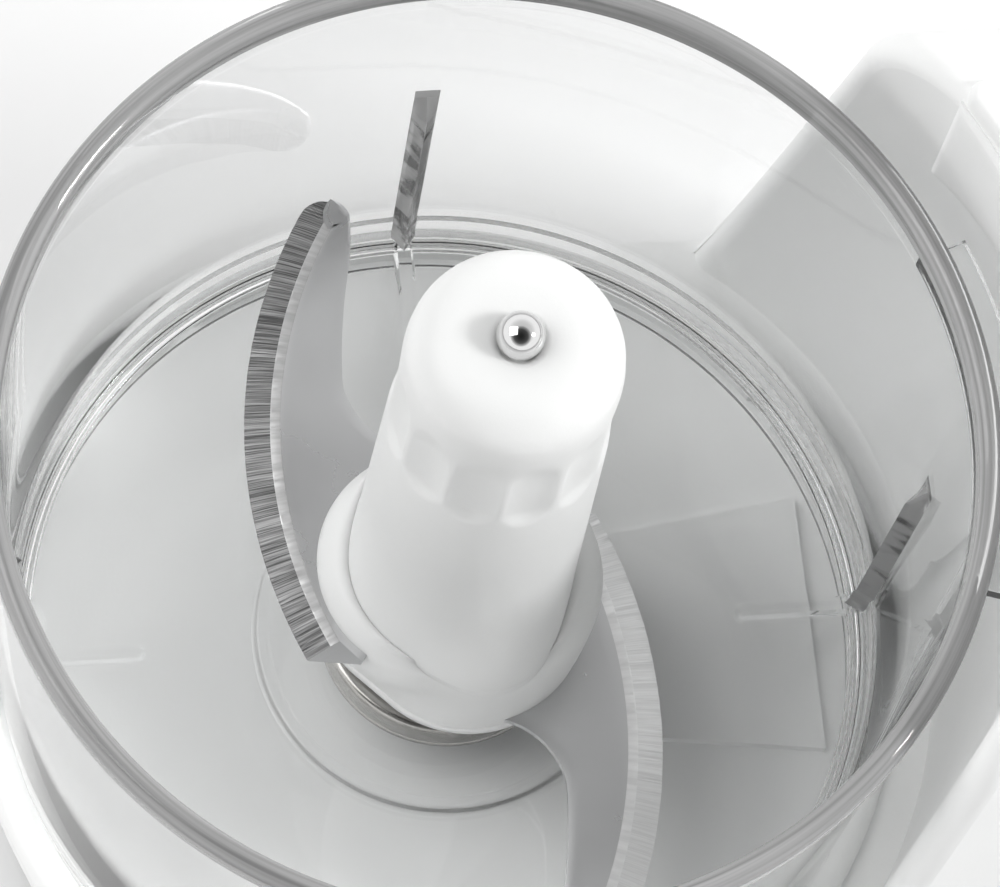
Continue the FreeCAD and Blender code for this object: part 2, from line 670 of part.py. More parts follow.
def lid_interlock():
    """A sprung rod that the lid's tongue presses down onto a switch."""
    rod = turned("lock_rod_body", [
        (0, 162.3), (3, 162.3), (3, "tower_top - 5"), (5, "tower_top - 5"), (5, "tower_top - skin - 0.5"),
        (3, "tower_top - skin - 0.5"), (3, "tower_top + 4.6", -0.8), (2.4, "tower_top + 5.2"),
        (0, "tower_top + 5.2")], LOCK_X, LOCK_Y)
    keep("interlock_rod", rod)
    parts = [box("lock_shelf", 18, 11, 2, LOCK_X, LOCK_Y, 164)]
    for side in (-1, 1):
        cheek_x = LOCK_X + 8 * side
        parts.append(box(f"lock_cheek_{side + 2}", 2, 11, "tower_top - skin - 144", cheek_x, LOCK_Y, 144))
    keep("interlock_bracket", cut(
        "lock_bracket_solid", fuse("lock_bracket_parts", *parts),
        cylinder("lock_guide", "3 + fit_gap", 10, LOCK_X, LOCK_Y, 160)))
    keep("interlock_switch", cut(
        "lock_switch_solid", box("lock_switch_box", 14, 12, 14, LOCK_X, LOCK_Y, 144),
        cylinder("lock_switch_bore", 1.8, 10, LOCK_X, LOCK_Y, 152.5)))
    keep("switch_button", cylinder("lock_button", 1.5, 6, LOCK_X, LOCK_Y, 156))
    coil_top = number("tower_top - 5")
    keep("interlock_spring", spring("lock_spring", LOCK_X, LOCK_Y, 166, coil_top, 4, 0.35, 7))


# ---------------------------------------------------------------- bowl

def rim_sector(name, reach, half_angle, side):
    """A ledge round part of the rim, towards +Y or -Y."""
    sine = math.sin(math.radians(half_angle))
    cosine = math.cos(math.radians(half_angle))
    outer_x = f"({reach}) * {sine:.4f}"
    outer_y = f"({reach}) * {side * cosine:.4f}"
    inner_x = f"(rim_r - 3) * {sine:.4f}"
    inner_y = f"(rim_r - 3) * {side * cosine:.4f}"
    return plate(name, [
        (inner_x, inner_y), (outer_x, outer_y, f"{-side} * ({reach})"), (f"-{outer_x}", outer_y),
        (f"-{inner_x}", inner_y, f"{side} * (rim_r - 3)")], "rim_top - 10", 3)


def bowl():
    floor = "bowl_floor"
    under = "bowl_floor - 3"
    body = turned("bowl_body", [
        ("bush_r", under), ("bush_r", "bowl_floor - 6"), ("tube_r", "bowl_floor - 6"),
        ("tube_r", under), (82, under), (82, "deck + 0.4"), (84.8, "deck + 0.4"),
        ("bowl_low_r + bowl_wall", 54), ("bowl_high_r + bowl_wall", "rim_top - 8"),
        ("rim_r", "rim_top - 5.5"), ("rim_r", "rim_top - 3.5", -3), ("rim_r - 2.2", "rim_top", -3),
        ("bowl_high_r", "rim_top - 2.5"), ("bowl_low_r", f"{floor} + 2", 2),
        ("bowl_low_r - 2", floor), ("boss_r", floor), ("boss_r - 0.5", f"{floor} + 2"),
        ("boss_r - 2.1", f"{floor} + 2"), ("boss_r - 2.5", f"{floor} + 1.2"),
        ("tube_r + 2", f"{floor} + 1.2"), ("tube_r", f"{floor} + 3"),
        ("tube_r", f"{floor} + 9.5"), ("bush_r", f"{floor} + 9.5")])
    rib = new_sketch(body, "XY_Plane", "bowl_floor - 1")
    outline(rib, [("bowl_low_r - rib_deep", 0), (86, -3), (86, 3)])
    rib_pad = pad(body, rib, "rib_top - bowl_floor + 1")
    bar = new_sketch(body, "XY_Plane", "bowl_floor - 1")
    outline(bar, [(60, -2), (84.5, -2), (84.5, 2), (60, 2, -2.05)])
    bar_pad = pad(body, bar, 3.5)
    repeated(body, rib_pad, 4)
    pattern = body.newObject("PartDesign::PolarPattern", "bar_pattern")
    pattern.Originals = [bar_pad]
    pattern.Axis = (datum(body, "Z_Axis"), [""])
    pattern.Angle = 360
    pattern.Occurrences = 4
    body.Tip = pattern
    doc.recompute()
    lugs = []
    for index, x, y in around(4, number(LUG_RING), 33):
        lugs.append(cylinder(f"foot_lug_{index}", 3.5, 5, x, y, "deck + 1"))
    tab = rim_sector("rim_tab", "rim_r + 8", 21, 1)
    lug = rim_sector("rim_lug", "rim_r + 1.8", 18, -1)
    return keep("bowl", fuse("bowl_solid", body, tab, lug, *lugs))


def bowl_drive():
    keep("bowl_bush", ring(
        "bush_body", "post_r + running", "bush_r", "bowl_floor - 5.8", "bowl_floor + 9.5"))
    keep("drive_post", cut(
        "post_solid", fuse(
            "post_parts", cylinder("post_rod", "post_r", 21, z=48), hexagon("post_hex", 15, 81, z=69)),
        hexagon("post_socket", 7.5, 9, z=47)))
    keep("steel_collar", turned("collar_cup", [
        ("post_r", 66.5), (22.5, 66.5), (22.5, 59.5), (24.5, 59.5), (24.5, 67.5, -1.5), (23, 69),
        ("post_r", 69)]))
    keep("post_circlip", ring("post_circlip_body", "post_r", 10.5, 48.4, 49.6))


# ---------------------------------------------------------------- knife

def blade(name, top, turn):
    """A curved blade with a long ground bevel, and the ring that the hub is moulded round."""
    body = new_body(name + "_body")
    body.Placement = Placement(Vector(), Rotation(TOP, turn))
    sketch = new_sketch(body, "XY_Plane", f"{top} - blade_thick")
    heel = Vector(16, -30, 0)
    tip = Vector(-74.5, -23, 0)
    outline(sketch, [
        (heel.x, heel.y, "edge_r"), (tip.x, tip.y, 5), (-72.5, -14.2, 60), (-62, -15.2, -120),
        (-38, -18.6, -16), (-24, -6), (-14, -4), (-6, -13), (10, -19)])
    pad(body, sketch, "blade_thick")
    eye = new_sketch(body, "XY_Plane", f"{top} - blade_thick")
    ring_outline(eye, 21)
    pad(body, eye, "blade_thick")
    bore = new_sketch(body, "XY_Plane", top)
    ring_outline(bore, "bore_r")
    pocket(body, bore, "blade_thick")

    centre = Rotation(TOP, turn).multVec(arc_between(heel, tip, number("edge_r")).Center)
    ground = f"{top} - bevel_deep"
    flank_r = "edge_r - 4 * bevel_wide / bevel_deep"
    wheel = cylinder(name + "_wheel", "edge_r + 5", 4, centre.x, centre.y, ground)
    flank = cone(name + "_flank", "edge_r", flank_r, 4, centre.x, centre.y, ground)
    return keep(name, cut(name + "_ground", body, cut(name + "_stone", wheel, flank)))


def collar_outline(grow):
    """The blade collar's plan: two half rounds joined by short flats."""
    radius = f"(collar_r + {grow})"
    reach = "collar_reach"
    bend = f"-({radius} + 0.001)"
    return [
        (f"-{reach}", f"-{radius}"), (reach, f"-{radius}", bend), (f"{reach} + {radius}", 0, bend),
        (reach, radius), (f"-{reach}", radius, bend), (f"-{reach} - {radius}", 0, bend)]


def blade_collar(upper, lower):
    """The moulding round the blades' roots, with a recess for the column's foot."""
    lobes = plate("collar_body", collar_outline(0), "collar_low", "collar_top - collar_low")
    crown = number("collar_top")
    foot = number("collar_low")
    softened(lobes, 9, lambda edge: level(edge, crown))
    softened(lobes, 2.5, lambda edge: level(edge, foot))
    lip = plate("collar_lip", collar_outline(0.5), "collar_low - 1.5", 2.3)
    for body in (lobes, lip):
        body.Placement = Placement(Vector(), Rotation(TOP, 35))
    keep("blade_collar", cut(
        "collar_solid", fuse("collar_parts", lobes, lip),
        cylinder("collar_bore", "bore_r", 40, z="collar_top - 36"),
        cylinder("collar_recess", "column_low_r", 10, z="column_foot"), upper, lower))


def knife():
    upper = blade("upper_blade", "upper_blade_z", 0)
    lower = blade("lower_blade", "lower_blade_z", 180)
    blade_collar(upper, lower)
    column = turned("column_body", [
        ("column_low_r - column_wall", "column_foot"), ("column_low_r", "column_foot"),
        ("column_top_r", "column_top - 6", -6), ("column_top_r - 6", "column_top"),
        (0, "column_top"), (0, "column_top - 6"), ("column_top_r - column_wall", "column_top - 6")])
    flutes = []
    for index, x, y in around(12, 23.8):
        flutes.append(cylinder(f"flute_{index}", 5, 20, x, y, "column_top - 37"))
    ball_place = "column_top + 1.5"
    seat = doc.addObject("Part::Sphere", "ball_seat")
    seat.setExpression("Radius", bound("ball_r"))
    place(seat, z=ball_place)
    keep("hub_column", cut("column_fluted", column, seat, *flutes))
    keep("hub_insert", cut(
        "insert_solid", cylinder("insert_tube", "bore_r", 83, z="collar_low"),
        hexagon("insert_socket", 15.7, 82, z="collar_low - 1")))
    ball = doc.addObject("Part::Sphere", "ball")
    ball.setExpression("Radius", bound("ball_r"))
    keep("steel_ball", place(ball, z=ball_place))


# ---------------------------------------------------------------- build, check and write

for build in (housing, tower_cap, base_plate, feet_and_screws, spindle_group, drive_belt, motor_frame,
              stator, brushes, rotor, electrics, lid_interlock, bowl, bowl_drive, knife):
    build()
doc.recompute()

for thing in doc.Objects:
    if "Invalid" in thing.State or "Error" in thing.State:
        raise RuntimeError(f"{thing.Name} failed: {thing.State}")
shift = Vector(0, -number("middle_y"), 0)
for node, thing in nodes.items():
    shape = thing.Shape
    if shape.isNull() or not shape.isValid() or not shape.Solids:
        raise RuntimeError(f"{node} has no valid solid")
    shape.translated(shift).exportStep(f"parts/{node}.step")
print(len(nodes), "nodes written")
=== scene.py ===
import json
import math
import random

import bmesh
import bpy
from mathutils import Matrix, Vector


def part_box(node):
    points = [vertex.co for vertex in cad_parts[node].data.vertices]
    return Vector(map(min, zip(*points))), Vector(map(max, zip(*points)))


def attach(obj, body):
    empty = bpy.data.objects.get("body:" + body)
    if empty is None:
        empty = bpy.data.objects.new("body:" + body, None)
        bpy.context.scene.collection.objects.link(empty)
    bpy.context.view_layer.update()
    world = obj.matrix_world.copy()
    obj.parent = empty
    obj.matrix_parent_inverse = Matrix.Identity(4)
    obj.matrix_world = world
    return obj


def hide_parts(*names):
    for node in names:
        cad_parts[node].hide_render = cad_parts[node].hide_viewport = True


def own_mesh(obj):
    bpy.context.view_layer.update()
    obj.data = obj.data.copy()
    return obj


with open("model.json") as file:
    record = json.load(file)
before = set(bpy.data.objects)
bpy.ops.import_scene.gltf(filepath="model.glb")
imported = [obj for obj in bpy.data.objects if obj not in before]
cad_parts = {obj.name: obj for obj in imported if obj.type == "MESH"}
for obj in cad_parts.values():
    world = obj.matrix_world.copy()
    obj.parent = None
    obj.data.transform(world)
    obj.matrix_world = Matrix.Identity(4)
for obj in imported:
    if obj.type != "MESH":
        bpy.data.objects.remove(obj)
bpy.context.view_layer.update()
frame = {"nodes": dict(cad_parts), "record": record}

# The looks of the food processor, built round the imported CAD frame. Helper functions take
# millimetres; Blender objects are in metres. Positions come from the frame's boxes.

MM = 0.001


def middle(node):
    """The middle of a CAD node, in millimetres."""
    low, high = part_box(node)
    return (low + high) / 2 / MM


def top(node):
    """The greatest height of a CAD node, in millimetres."""
    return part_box(node)[1].z / MM


def foot(node):
    """The least height of a CAD node, in millimetres."""
    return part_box(node)[0].z / MM


BOWL_AXIS = middle("spindle")
KNOB_AXIS = middle("knob_shaft")


# ---------------------------------------------------------------- materials

def material(name):
    """A new material, its node tree and its main shader."""
    made = bpy.data.materials.new(name)
    made.use_nodes = True
    return made, made.node_tree, made.node_tree.nodes["Principled BSDF"]


def joined(tree, source, target):
    """A link from an output to an input."""
    tree.links.new(source, target)


def ground_noise(tree, scale, detail=4, stretch=(1, 1, 1)):
    """Noise in the object's own coordinates, in metres times scale."""
    where = tree.nodes.new("ShaderNodeTexCoord")
    turn = tree.nodes.new("ShaderNodeMapping")
    turn.inputs["Scale"].default_value = stretch
    grain = tree.nodes.new("ShaderNodeTexNoise")
    grain.inputs["Scale"].default_value = scale
    grain.inputs["Detail"].default_value = detail
    joined(tree, where.outputs["Object"], turn.inputs["Vector"])
    joined(tree, turn.outputs["Vector"], grain.inputs["Vector"])
    return grain.outputs["Fac"]


def maths(tree, operation, first, second=None):
    """A maths node on sockets or plain numbers."""
    node = tree.nodes.new("ShaderNodeMath")
    node.operation = operation
    for socket, value in zip(node.inputs, (first, second)):
        if isinstance(value, (int, float)):
            socket.default_value = value
        elif value is not None:
            joined(tree, value, socket)
    return node.outputs[0]


def turned_noise(tree, centre, along, outwards, upwards, detail=3):
    """Noise in turns about a vertical axis: cells per radian, per metre out and per metre up."""
    where = tree.nodes.new("ShaderNodeTexCoord")
    apart = tree.nodes.new("ShaderNodeSeparateXYZ")
    joined(tree, where.outputs["Object"], apart.inputs["Vector"])
    x = maths(tree, "SUBTRACT", apart.outputs["X"], centre[0] * MM)
    y = maths(tree, "SUBTRACT", apart.outputs["Y"], centre[1] * MM)
    squares = maths(tree, "ADD", maths(tree, "MULTIPLY", x, x), maths(tree, "MULTIPLY", y, y))
    radius = maths(tree, "SQRT", squares)
    place = tree.nodes.new("ShaderNodeCombineXYZ")
    joined(tree, maths(tree, "MULTIPLY", maths(tree, "ARCTAN2", y, x), along), place.inputs["X"])
    joined(tree, maths(tree, "MULTIPLY", radius, outwards), place.inputs["Y"])
    joined(tree, maths(tree, "MULTIPLY", apart.outputs["Z"], upwards), place.inputs["Z"])
    grain = tree.nodes.new("ShaderNodeTexNoise")
    grain.inputs["Scale"].default_value = 1
    grain.inputs["Detail"].default_value = detail
    joined(tree, place.outputs["Vector"], grain.inputs["Vector"])
    return grain.outputs["Fac"]


def ramped(tree, value, stops):
    """A colour ramp; stops are (position, grey or colour)."""
    ramp = tree.nodes.new("ShaderNodeValToRGB")
    while len(ramp.color_ramp.elements) < len(stops):
        ramp.color_ramp.elements.new(0.5)
    for element, (position, shade) in zip(ramp.color_ramp.elements, stops):
        element.position = position
        element.color = (*shade, 1) if isinstance(shade, tuple) else (shade, shade, shade, 1)
    joined(tree, value, ramp.inputs["Fac"])
    return ramp.outputs["Color"]


def bumped(tree, shader, height, distance, strength=1.0):
    """Fine relief; the distance is in metres."""
    bump = tree.nodes.new("ShaderNodeBump")
    bump.inputs["Distance"].default_value = distance
    bump.inputs["Strength"].default_value = strength
    joined(tree, height, bump.inputs["Height"])
    joined(tree, bump.outputs["Normal"], shader.inputs["Normal"])


def shaded(tree, shader, low, high, scale=18):
    """Base colour that drifts slightly over the surface."""
    drift = ramped(tree, ground_noise(tree, scale, 3), [(0.3, low), (0.7, high)])
    joined(tree, drift, shader.inputs["Base Color"])


def moulded(name, colour, roughness, grain=1400, depth=0.00002, milky=0.0):
    """Injection-moulded plastic with a fine skin."""
    made, tree, shader = material(name)
    low = tuple(channel * 0.97 for channel in colour)
    shaded(tree, shader, low, colour)
    rough = ramped(tree, ground_noise(tree, 60, 5), [(0.25, roughness * 0.85), (0.75, roughness * 1.2)])
    joined(tree, rough, shader.inputs["Roughness"])
    bumped(tree, shader, ground_noise(tree, grain, 2), depth)
    shader.inputs["IOR"].default_value = 1.49
    if milky:
        shader.inputs["Subsurface Weight"].default_value = milky
        shader.inputs["Subsurface Radius"].default_value = (1, 1, 1)
        shader.inputs["Subsurface Scale"].default_value = 0.006
    return made


def clear(name, colour, absorbed, bands=None, painted_shade=None, through=1.0):
    """Clear polished moulding with faint flow lines; lamps shine through it. The ramp stops, when
    given, darken it in streaks of painted shade for the dark surroundings seen through it, and
    bands says how finely: per radian, per metre out and up. through is the share of light that
    passes, and the rest is scattered."""
    made, tree, shader = material(name)
    # Painted shade: a grey ramp on turned noise darkens the clear plastic in streaks, standing in for dark
    # surroundings seen through it.
    if painted_shade:
        rings = turned_noise(tree, BOWL_AXIS, *bands, 2)
        joined(tree, ramped(tree, rings, painted_shade), shader.inputs["Base Color"])
    else:
        shaded(tree, shader, tuple(channel * 0.985 for channel in colour), colour, 9)
    shader.inputs["Transmission Weight"].default_value = through
    shader.inputs["IOR"].default_value = 1.5
    worn = ramped(tree, ground_noise(tree, 900, 6, (1, 1, 0.15)), [(0.55, 0.02), (0.8, 0.06)])
    joined(tree, worn, shader.inputs["Roughness"])
    bumped(tree, shader, ground_noise(tree, 14, 2), 0.0002, 0.15)
    smoke = tree.nodes.new("ShaderNodeVolumeAbsorption")
    smoke.inputs["Color"].default_value = (0.5, 0.5, 0.5, 1)
    smoke.inputs["Density"].default_value = absorbed
    ending = tree.nodes["Material Output"]
    joined(tree, smoke.outputs["Volume"], ending.inputs["Volume"])
    ray = tree.nodes.new("ShaderNodeLightPath")
    opening = tree.nodes.new("ShaderNodeBsdfTransparent")
    opening.inputs["Color"].default_value = (0.97, 0.97, 0.97, 1)
    either = tree.nodes.new("ShaderNodeMixShader")
    joined(tree, ray.outputs["Is Shadow Ray"], either.inputs["Fac"])
    joined(tree, shader.outputs["BSDF"], either.inputs[1])
    joined(tree, opening.outputs["BSDF"], either.inputs[2])
    joined(tree, either.outputs["Shader"], ending.inputs["Surface"])
    return made


def steel(name, colour, roughness, stretch=(1, 1, 1), scale=700, depth=0.00001, stain_and_shade=0.0):
    """Ground or rolled metal; the grain runs along the axis with the small stretch. Darker blotches from
    the last argument are partly stain and partly painted shade.
    """
    made, tree, shader = material(name)
    dark = tuple(channel * (0.9 - stain_and_shade) for channel in colour)
    shaded(tree, shader, dark, colour, 60 if stain_and_shade else 25)
    shader.inputs["Metallic"].default_value = 1
    grain = ground_noise(tree, scale, 6, stretch)
    rough = ramped(tree, grain, [(0.3, roughness * 0.75), (0.7, roughness * 1.3)])
    joined(tree, rough, shader.inputs["Roughness"])
    bumped(tree, shader, grain, depth)
    return made


def ground_steel(name, centre, dark, bright, lines, depth):
    """Steel ground across its edge: fine lines that point at the middle of the edge's arc. The greys
    between dark and bright carry painted light and shade, given for each blade.
    """
    made, tree, shader = material(name)
    grain = turned_noise(tree, centre, lines, 60, 10, 4)
    joined(tree, ramped(tree, grain, [(0.36, dark), (0.5, (dark + bright) / 2), (0.64, bright)]),
           shader.inputs["Base Color"])
    shader.inputs["Metallic"].default_value = 1
    joined(tree, ramped(tree, grain, [(0.3, 0.5), (0.7, 0.36)]), shader.inputs["Roughness"])
    bumped(tree, shader, grain, depth)
    return made


def rubber(name, colour):
    """Dull moulded rubber."""
    made, tree, shader = material(name)
    shaded(tree, shader, tuple(channel * 0.8 for channel in colour), colour, 300)
    rough = ramped(tree, ground_noise(tree, 200), [(0.3, 0.62), (0.7, 0.85)])
    joined(tree, rough, shader.inputs["Roughness"])
    bumped(tree, shader, ground_noise(tree, 2500, 3), 0.00004)
    return made


LOOKS = {
    "housing_plastic": moulded("housing_plastic", (0.91, 0.915, 0.91), 0.4),
    "plate_plastic": moulded("plate_plastic", (0.62, 0.63, 0.62), 0.55, 900, 0.00005),
    "foot_rubber": rubber("foot_rubber", (0.2, 0.21, 0.215)),
    "screw_steel": steel("screw_steel", (0.6, 0.61, 0.62), 0.35, depth=0.00002),
    "cast_aluminium": steel("cast_aluminium", (0.66, 0.67, 0.68), 0.5, scale=1200, depth=0.00005),
    "bearing_steel": steel("bearing_steel", (0.68, 0.69, 0.7), 0.22),
    "seal_rubber": rubber("seal_rubber", (0.03, 0.03, 0.03)),
    "shaft_steel": steel("shaft_steel", (0.66, 0.67, 0.68), 0.2),
    "pulley_plastic": moulded("pulley_plastic", (0.05, 0.05, 0.055), 0.5),
    "belt_rubber": rubber("belt_rubber", (0.025, 0.025, 0.027)),
    "core_steel": steel("core_steel", (0.25, 0.26, 0.28), 0.45, (1, 1, 60), 40, 0.00004),
    "winding_copper": steel("winding_copper", (0.6, 0.22, 0.08), 0.3, (1, 1, 30), 60, 0.00008),
    "carrier_plastic": moulded("carrier_plastic", (0.03, 0.03, 0.035), 0.5),
    "brush_carbon": moulded("brush_carbon", (0.015, 0.015, 0.015), 0.6),
    "fan_plastic": moulded("fan_plastic", (0.06, 0.06, 0.065), 0.45),
    "capacitor_plastic": moulded("capacitor_plastic", (0.02, 0.06, 0.2), 0.3),
    "terminal_plastic": moulded("terminal_plastic", (0.75, 0.72, 0.6), 0.45),
    "gland_rubber": rubber("gland_rubber", (0.72, 0.73, 0.72)),
    "switch_plastic": moulded("switch_plastic", (0.03, 0.03, 0.033), 0.45),
    "knob_plastic": moulded("knob_plastic", (0.86, 0.865, 0.86), 0.35),
    "pointer_plastic": moulded("pointer_plastic", (0.3, 0.31, 0.32), 0.4),
    "bowl_clear": clear("bowl_clear", (0.985, 0.99, 0.99), 16),
    "bush_plastic": moulded("bush_plastic", (0.85, 0.84, 0.8), 0.4),
    "post_plastic": moulded("post_plastic", (0.78, 0.78, 0.76), 0.4),
    # The collar's dark blotches are partly stain and partly painted shade.
    "collar_steel": steel("collar_steel", (0.5, 0.49, 0.47), 0.22, (1, 1, 40), 120, 0.00002, stain_and_shade=0.35),
    "blade_steel": steel("blade_steel", (0.68, 0.685, 0.69), 0.32, scale=25, depth=0.000001),
    "hub_plastic": moulded("hub_plastic", (0.8, 0.805, 0.8), 0.42, milky=0.5),
    "ball_steel": steel("ball_steel", (0.74, 0.74, 0.74), 0.07, depth=0.0000005),
}
for entry in frame["record"]["subparts"]:
    look = LOOKS[entry["material_slot"]]
    mesh = frame["nodes"][entry["node"]].data
    mesh.materials.clear()
    mesh.materials.append(look)


# ---------------------------------------------------------------- mesh helpers

def finished(name, mesh, slot, body, replaced=(), sharp=32, others=()):
    """Turn a mesh in millimetres into a piece that rides on a body; others are the looks of
    the faces painted 1, 2 and so on."""
    mesh.transform(Matrix.Diagonal((MM, MM, MM, 1)))
    mesh.shade_smooth()
    mesh.set_sharp_from_angle(angle=math.radians(sharp))
    for look in (LOOKS[slot], *others):
        mesh.materials.append(look)
    piece = bpy.data.objects.new(name, mesh)
    bpy.context.scene.collection.objects.link(piece)
    if replaced:
        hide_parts(*replaced)
    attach(piece, body)
    return piece


ARC_STEPS = 8


def rounded(corners):
    """The closed outline with its corners as arcs of ARC_STEPS steps in a quarter turn; a
    corner is (x, y) or (x, y, radius)."""
    points = []
    count = len(corners)
    for index, corner in enumerate(corners):
        here = Vector(corner[:2])
        radius = corner[2] if len(corner) > 2 else 0
        if radius == 0:
            points.append(here)
            continue
        before = (Vector(corners[index - 1][:2]) - here).normalized()
        after = (Vector(corners[(index + 1) % count][:2]) - here).normalized()
        half = before.angle(after) / 2
        reach = radius / math.tan(half)
        centre = here + (before + after).normalized() * (radius / math.sin(half))
        start = here + before * reach - centre
        finish = here + after * reach - centre
        sweep = math.atan2(start.cross(finish), start.dot(finish))
        steps = max(2, math.ceil(abs(sweep) / (math.pi / 2) * ARC_STEPS))
        for step in range(steps + 1):
            angle = sweep * step / steps
            spun = Vector((start.x * math.cos(angle) - start.y * math.sin(angle),
                           start.x * math.sin(angle) + start.y * math.cos(angle)))
            points.append(centre + spun)
    return points


def grid_mesh(name, rows, loop_rows, caps=(), paint=None):
    """Quads between closed rows of points; caps are rows closed with one face. paint(i, j) is
    the number of the look for the face after row i and column j."""
    bm = bmesh.new()
    grid = [[bm.verts.new(point) for point in row] for row in rows]
    for i in range(len(rows) - (0 if loop_rows else 1)):
        ahead = (i + 1) % len(rows)
        width = len(rows[i])
        for j in range(width):
            beside = (j + 1) % width
            face = bm.faces.new((grid[i][j], grid[i][beside], grid[ahead][beside], grid[ahead][j]))
            if paint:
                face.material_index = paint(i, j)
    for cap in caps:
        bm.faces.new(grid[cap])
    bmesh.ops.remove_doubles(bm, verts=bm.verts, dist=1e-5)
    bmesh.ops.recalc_face_normals(bm, faces=bm.faces)
    mesh = bpy.data.meshes.new(name)
    bm.to_mesh(mesh)
    bm.free()
    return mesh


def around(centre, radius, angle, height):
    """The point at a radius, angle and height about a vertical axis."""
    return centre.x + radius * math.cos(angle), centre.y + radius * math.sin(angle), height


def lathe(name, profile, centre, segments, closed=True, shape=None):
    """A profile of (radius, height) points turned about a vertical axis.
    shape(angle, radius, height) may move each point."""
    rows = []
    for radius, height in profile:
        row = []
        for step in range(segments):
            angle = 2 * math.pi * step / segments
            reach, rise = shape(angle, radius, height) if shape else (radius, height)
            row.append(around(centre, reach, angle, rise))
        rows.append(row)
    return grid_mesh(name, rows, closed)


def inset_outline(points, inset):
    """A counter-clockwise outline moved inwards."""
    moved = []
    for index, point in enumerate(points):
        before = (point - points[index - 1]).normalized()
        after = (points[(index + 1) % len(points)] - point).normalized()
        first, second = Vector((-before.y, before.x)), Vector((-after.y, after.x))
        moved.append(point + (first + second) * (inset / (1 + first.dot(second))))
    return moved


def slab(name, outline, levels):
    """A solid lofted up through (inset, height) levels of one outline."""
    rows = []
    for inset, height in levels:
        rows.append([(point.x, point.y, height) for point in inset_outline(outline, inset)])
    return grid_mesh(name, rows, False, caps=(0, -1))


DRILL_LONG = 120


def drilled(mesh, holes):
    """The mesh with an upright hole at each (x, y, radius)."""
    bm = bmesh.new()
    for x, y, radius in holes:
        place = Matrix.Translation((x, y, RIM_TOP))
        bmesh.ops.create_cone(bm, cap_ends=True, segments=48, radius1=radius, radius2=radius,
                              depth=DRILL_LONG, matrix=place)
    cutter_mesh = bpy.data.meshes.new("cutter")
    bm.to_mesh(cutter_mesh)
    bm.free()
    cutter = bpy.data.objects.new("cutter", cutter_mesh)
    blank = bpy.data.objects.new("blank", mesh)
    for thing in (cutter, blank):
        bpy.context.scene.collection.objects.link(thing)
    cutting = blank.modifiers.new("cut", "BOOLEAN")
    cutting.object = cutter
    cutting.solver = "EXACT"
    worked = blank.evaluated_get(bpy.context.evaluated_depsgraph_get())
    result = bpy.data.meshes.new_from_object(worked)
    for thing in (cutter, blank):
        bpy.data.objects.remove(thing)
    return result


def ease(value):
    """A smooth step from 0 to 1."""
    value = min(1, max(0, value))
    return value * value * (3 - 2 * value)


# ---------------------------------------------------------------- bowl

FLOOR = foot("steel_collar") - 3.5
SUNK = FLOOR - 0.5
UNDER = FLOOR - 3
BOWL_FOOT = foot("bowl")
RIM_TOP = top("bowl")
RIM_R = 90
WALL_LOW = 84
WALL_HIGH = 85.5
WALL = 2.5
LEDGE_LOW, LEDGE_HIGH = RIM_TOP - 10, RIM_TOP - 7
STEP_HIGH = FLOOR + 8
RIB_TOP = FLOOR + 64
RIB_HALF = 2.4
RIB_DEEP = 3.2
RIB_FADE = 5
BAR_HALF = 2.0
BAR_HIGH = 1.6
BAR_END = 60
BAR_SOFT = 0.75
BOSS_R = 36.8
TAB_REACH = 7.5
TAB_FROM, TAB_TO = 69, 111


def bowl_columns():
    """(quarter turn, sideways offset, further turn) of each column, in degrees and millimetres.
    Ribs and bars stand at the quarter turns, where the columns are close together."""
    offsets = (-3.3, -3.0, -2.4, -2.05, -1.9, -1.7, -1.3, -0.7, 0, 0.7, 1.3, 1.7, 1.9, 2.05, 2.4, 3.0, 3.3)
    columns = []
    for quarter in range(4):
        base = quarter * 90
        columns += [(base, offset, 0) for offset in offsets]
        between = {4.4 + 1.8 * step for step in range(46)}
        if quarter == 0:
            between |= {TAB_FROM, TAB_FROM + 0.25}
        if quarter == 1:
            between |= {TAB_TO - 90.25, TAB_TO - 90}
        between = sorted(angle for angle in between if angle < 86.5)
        columns += [(base, 0, angle) for angle in between]
    return columns


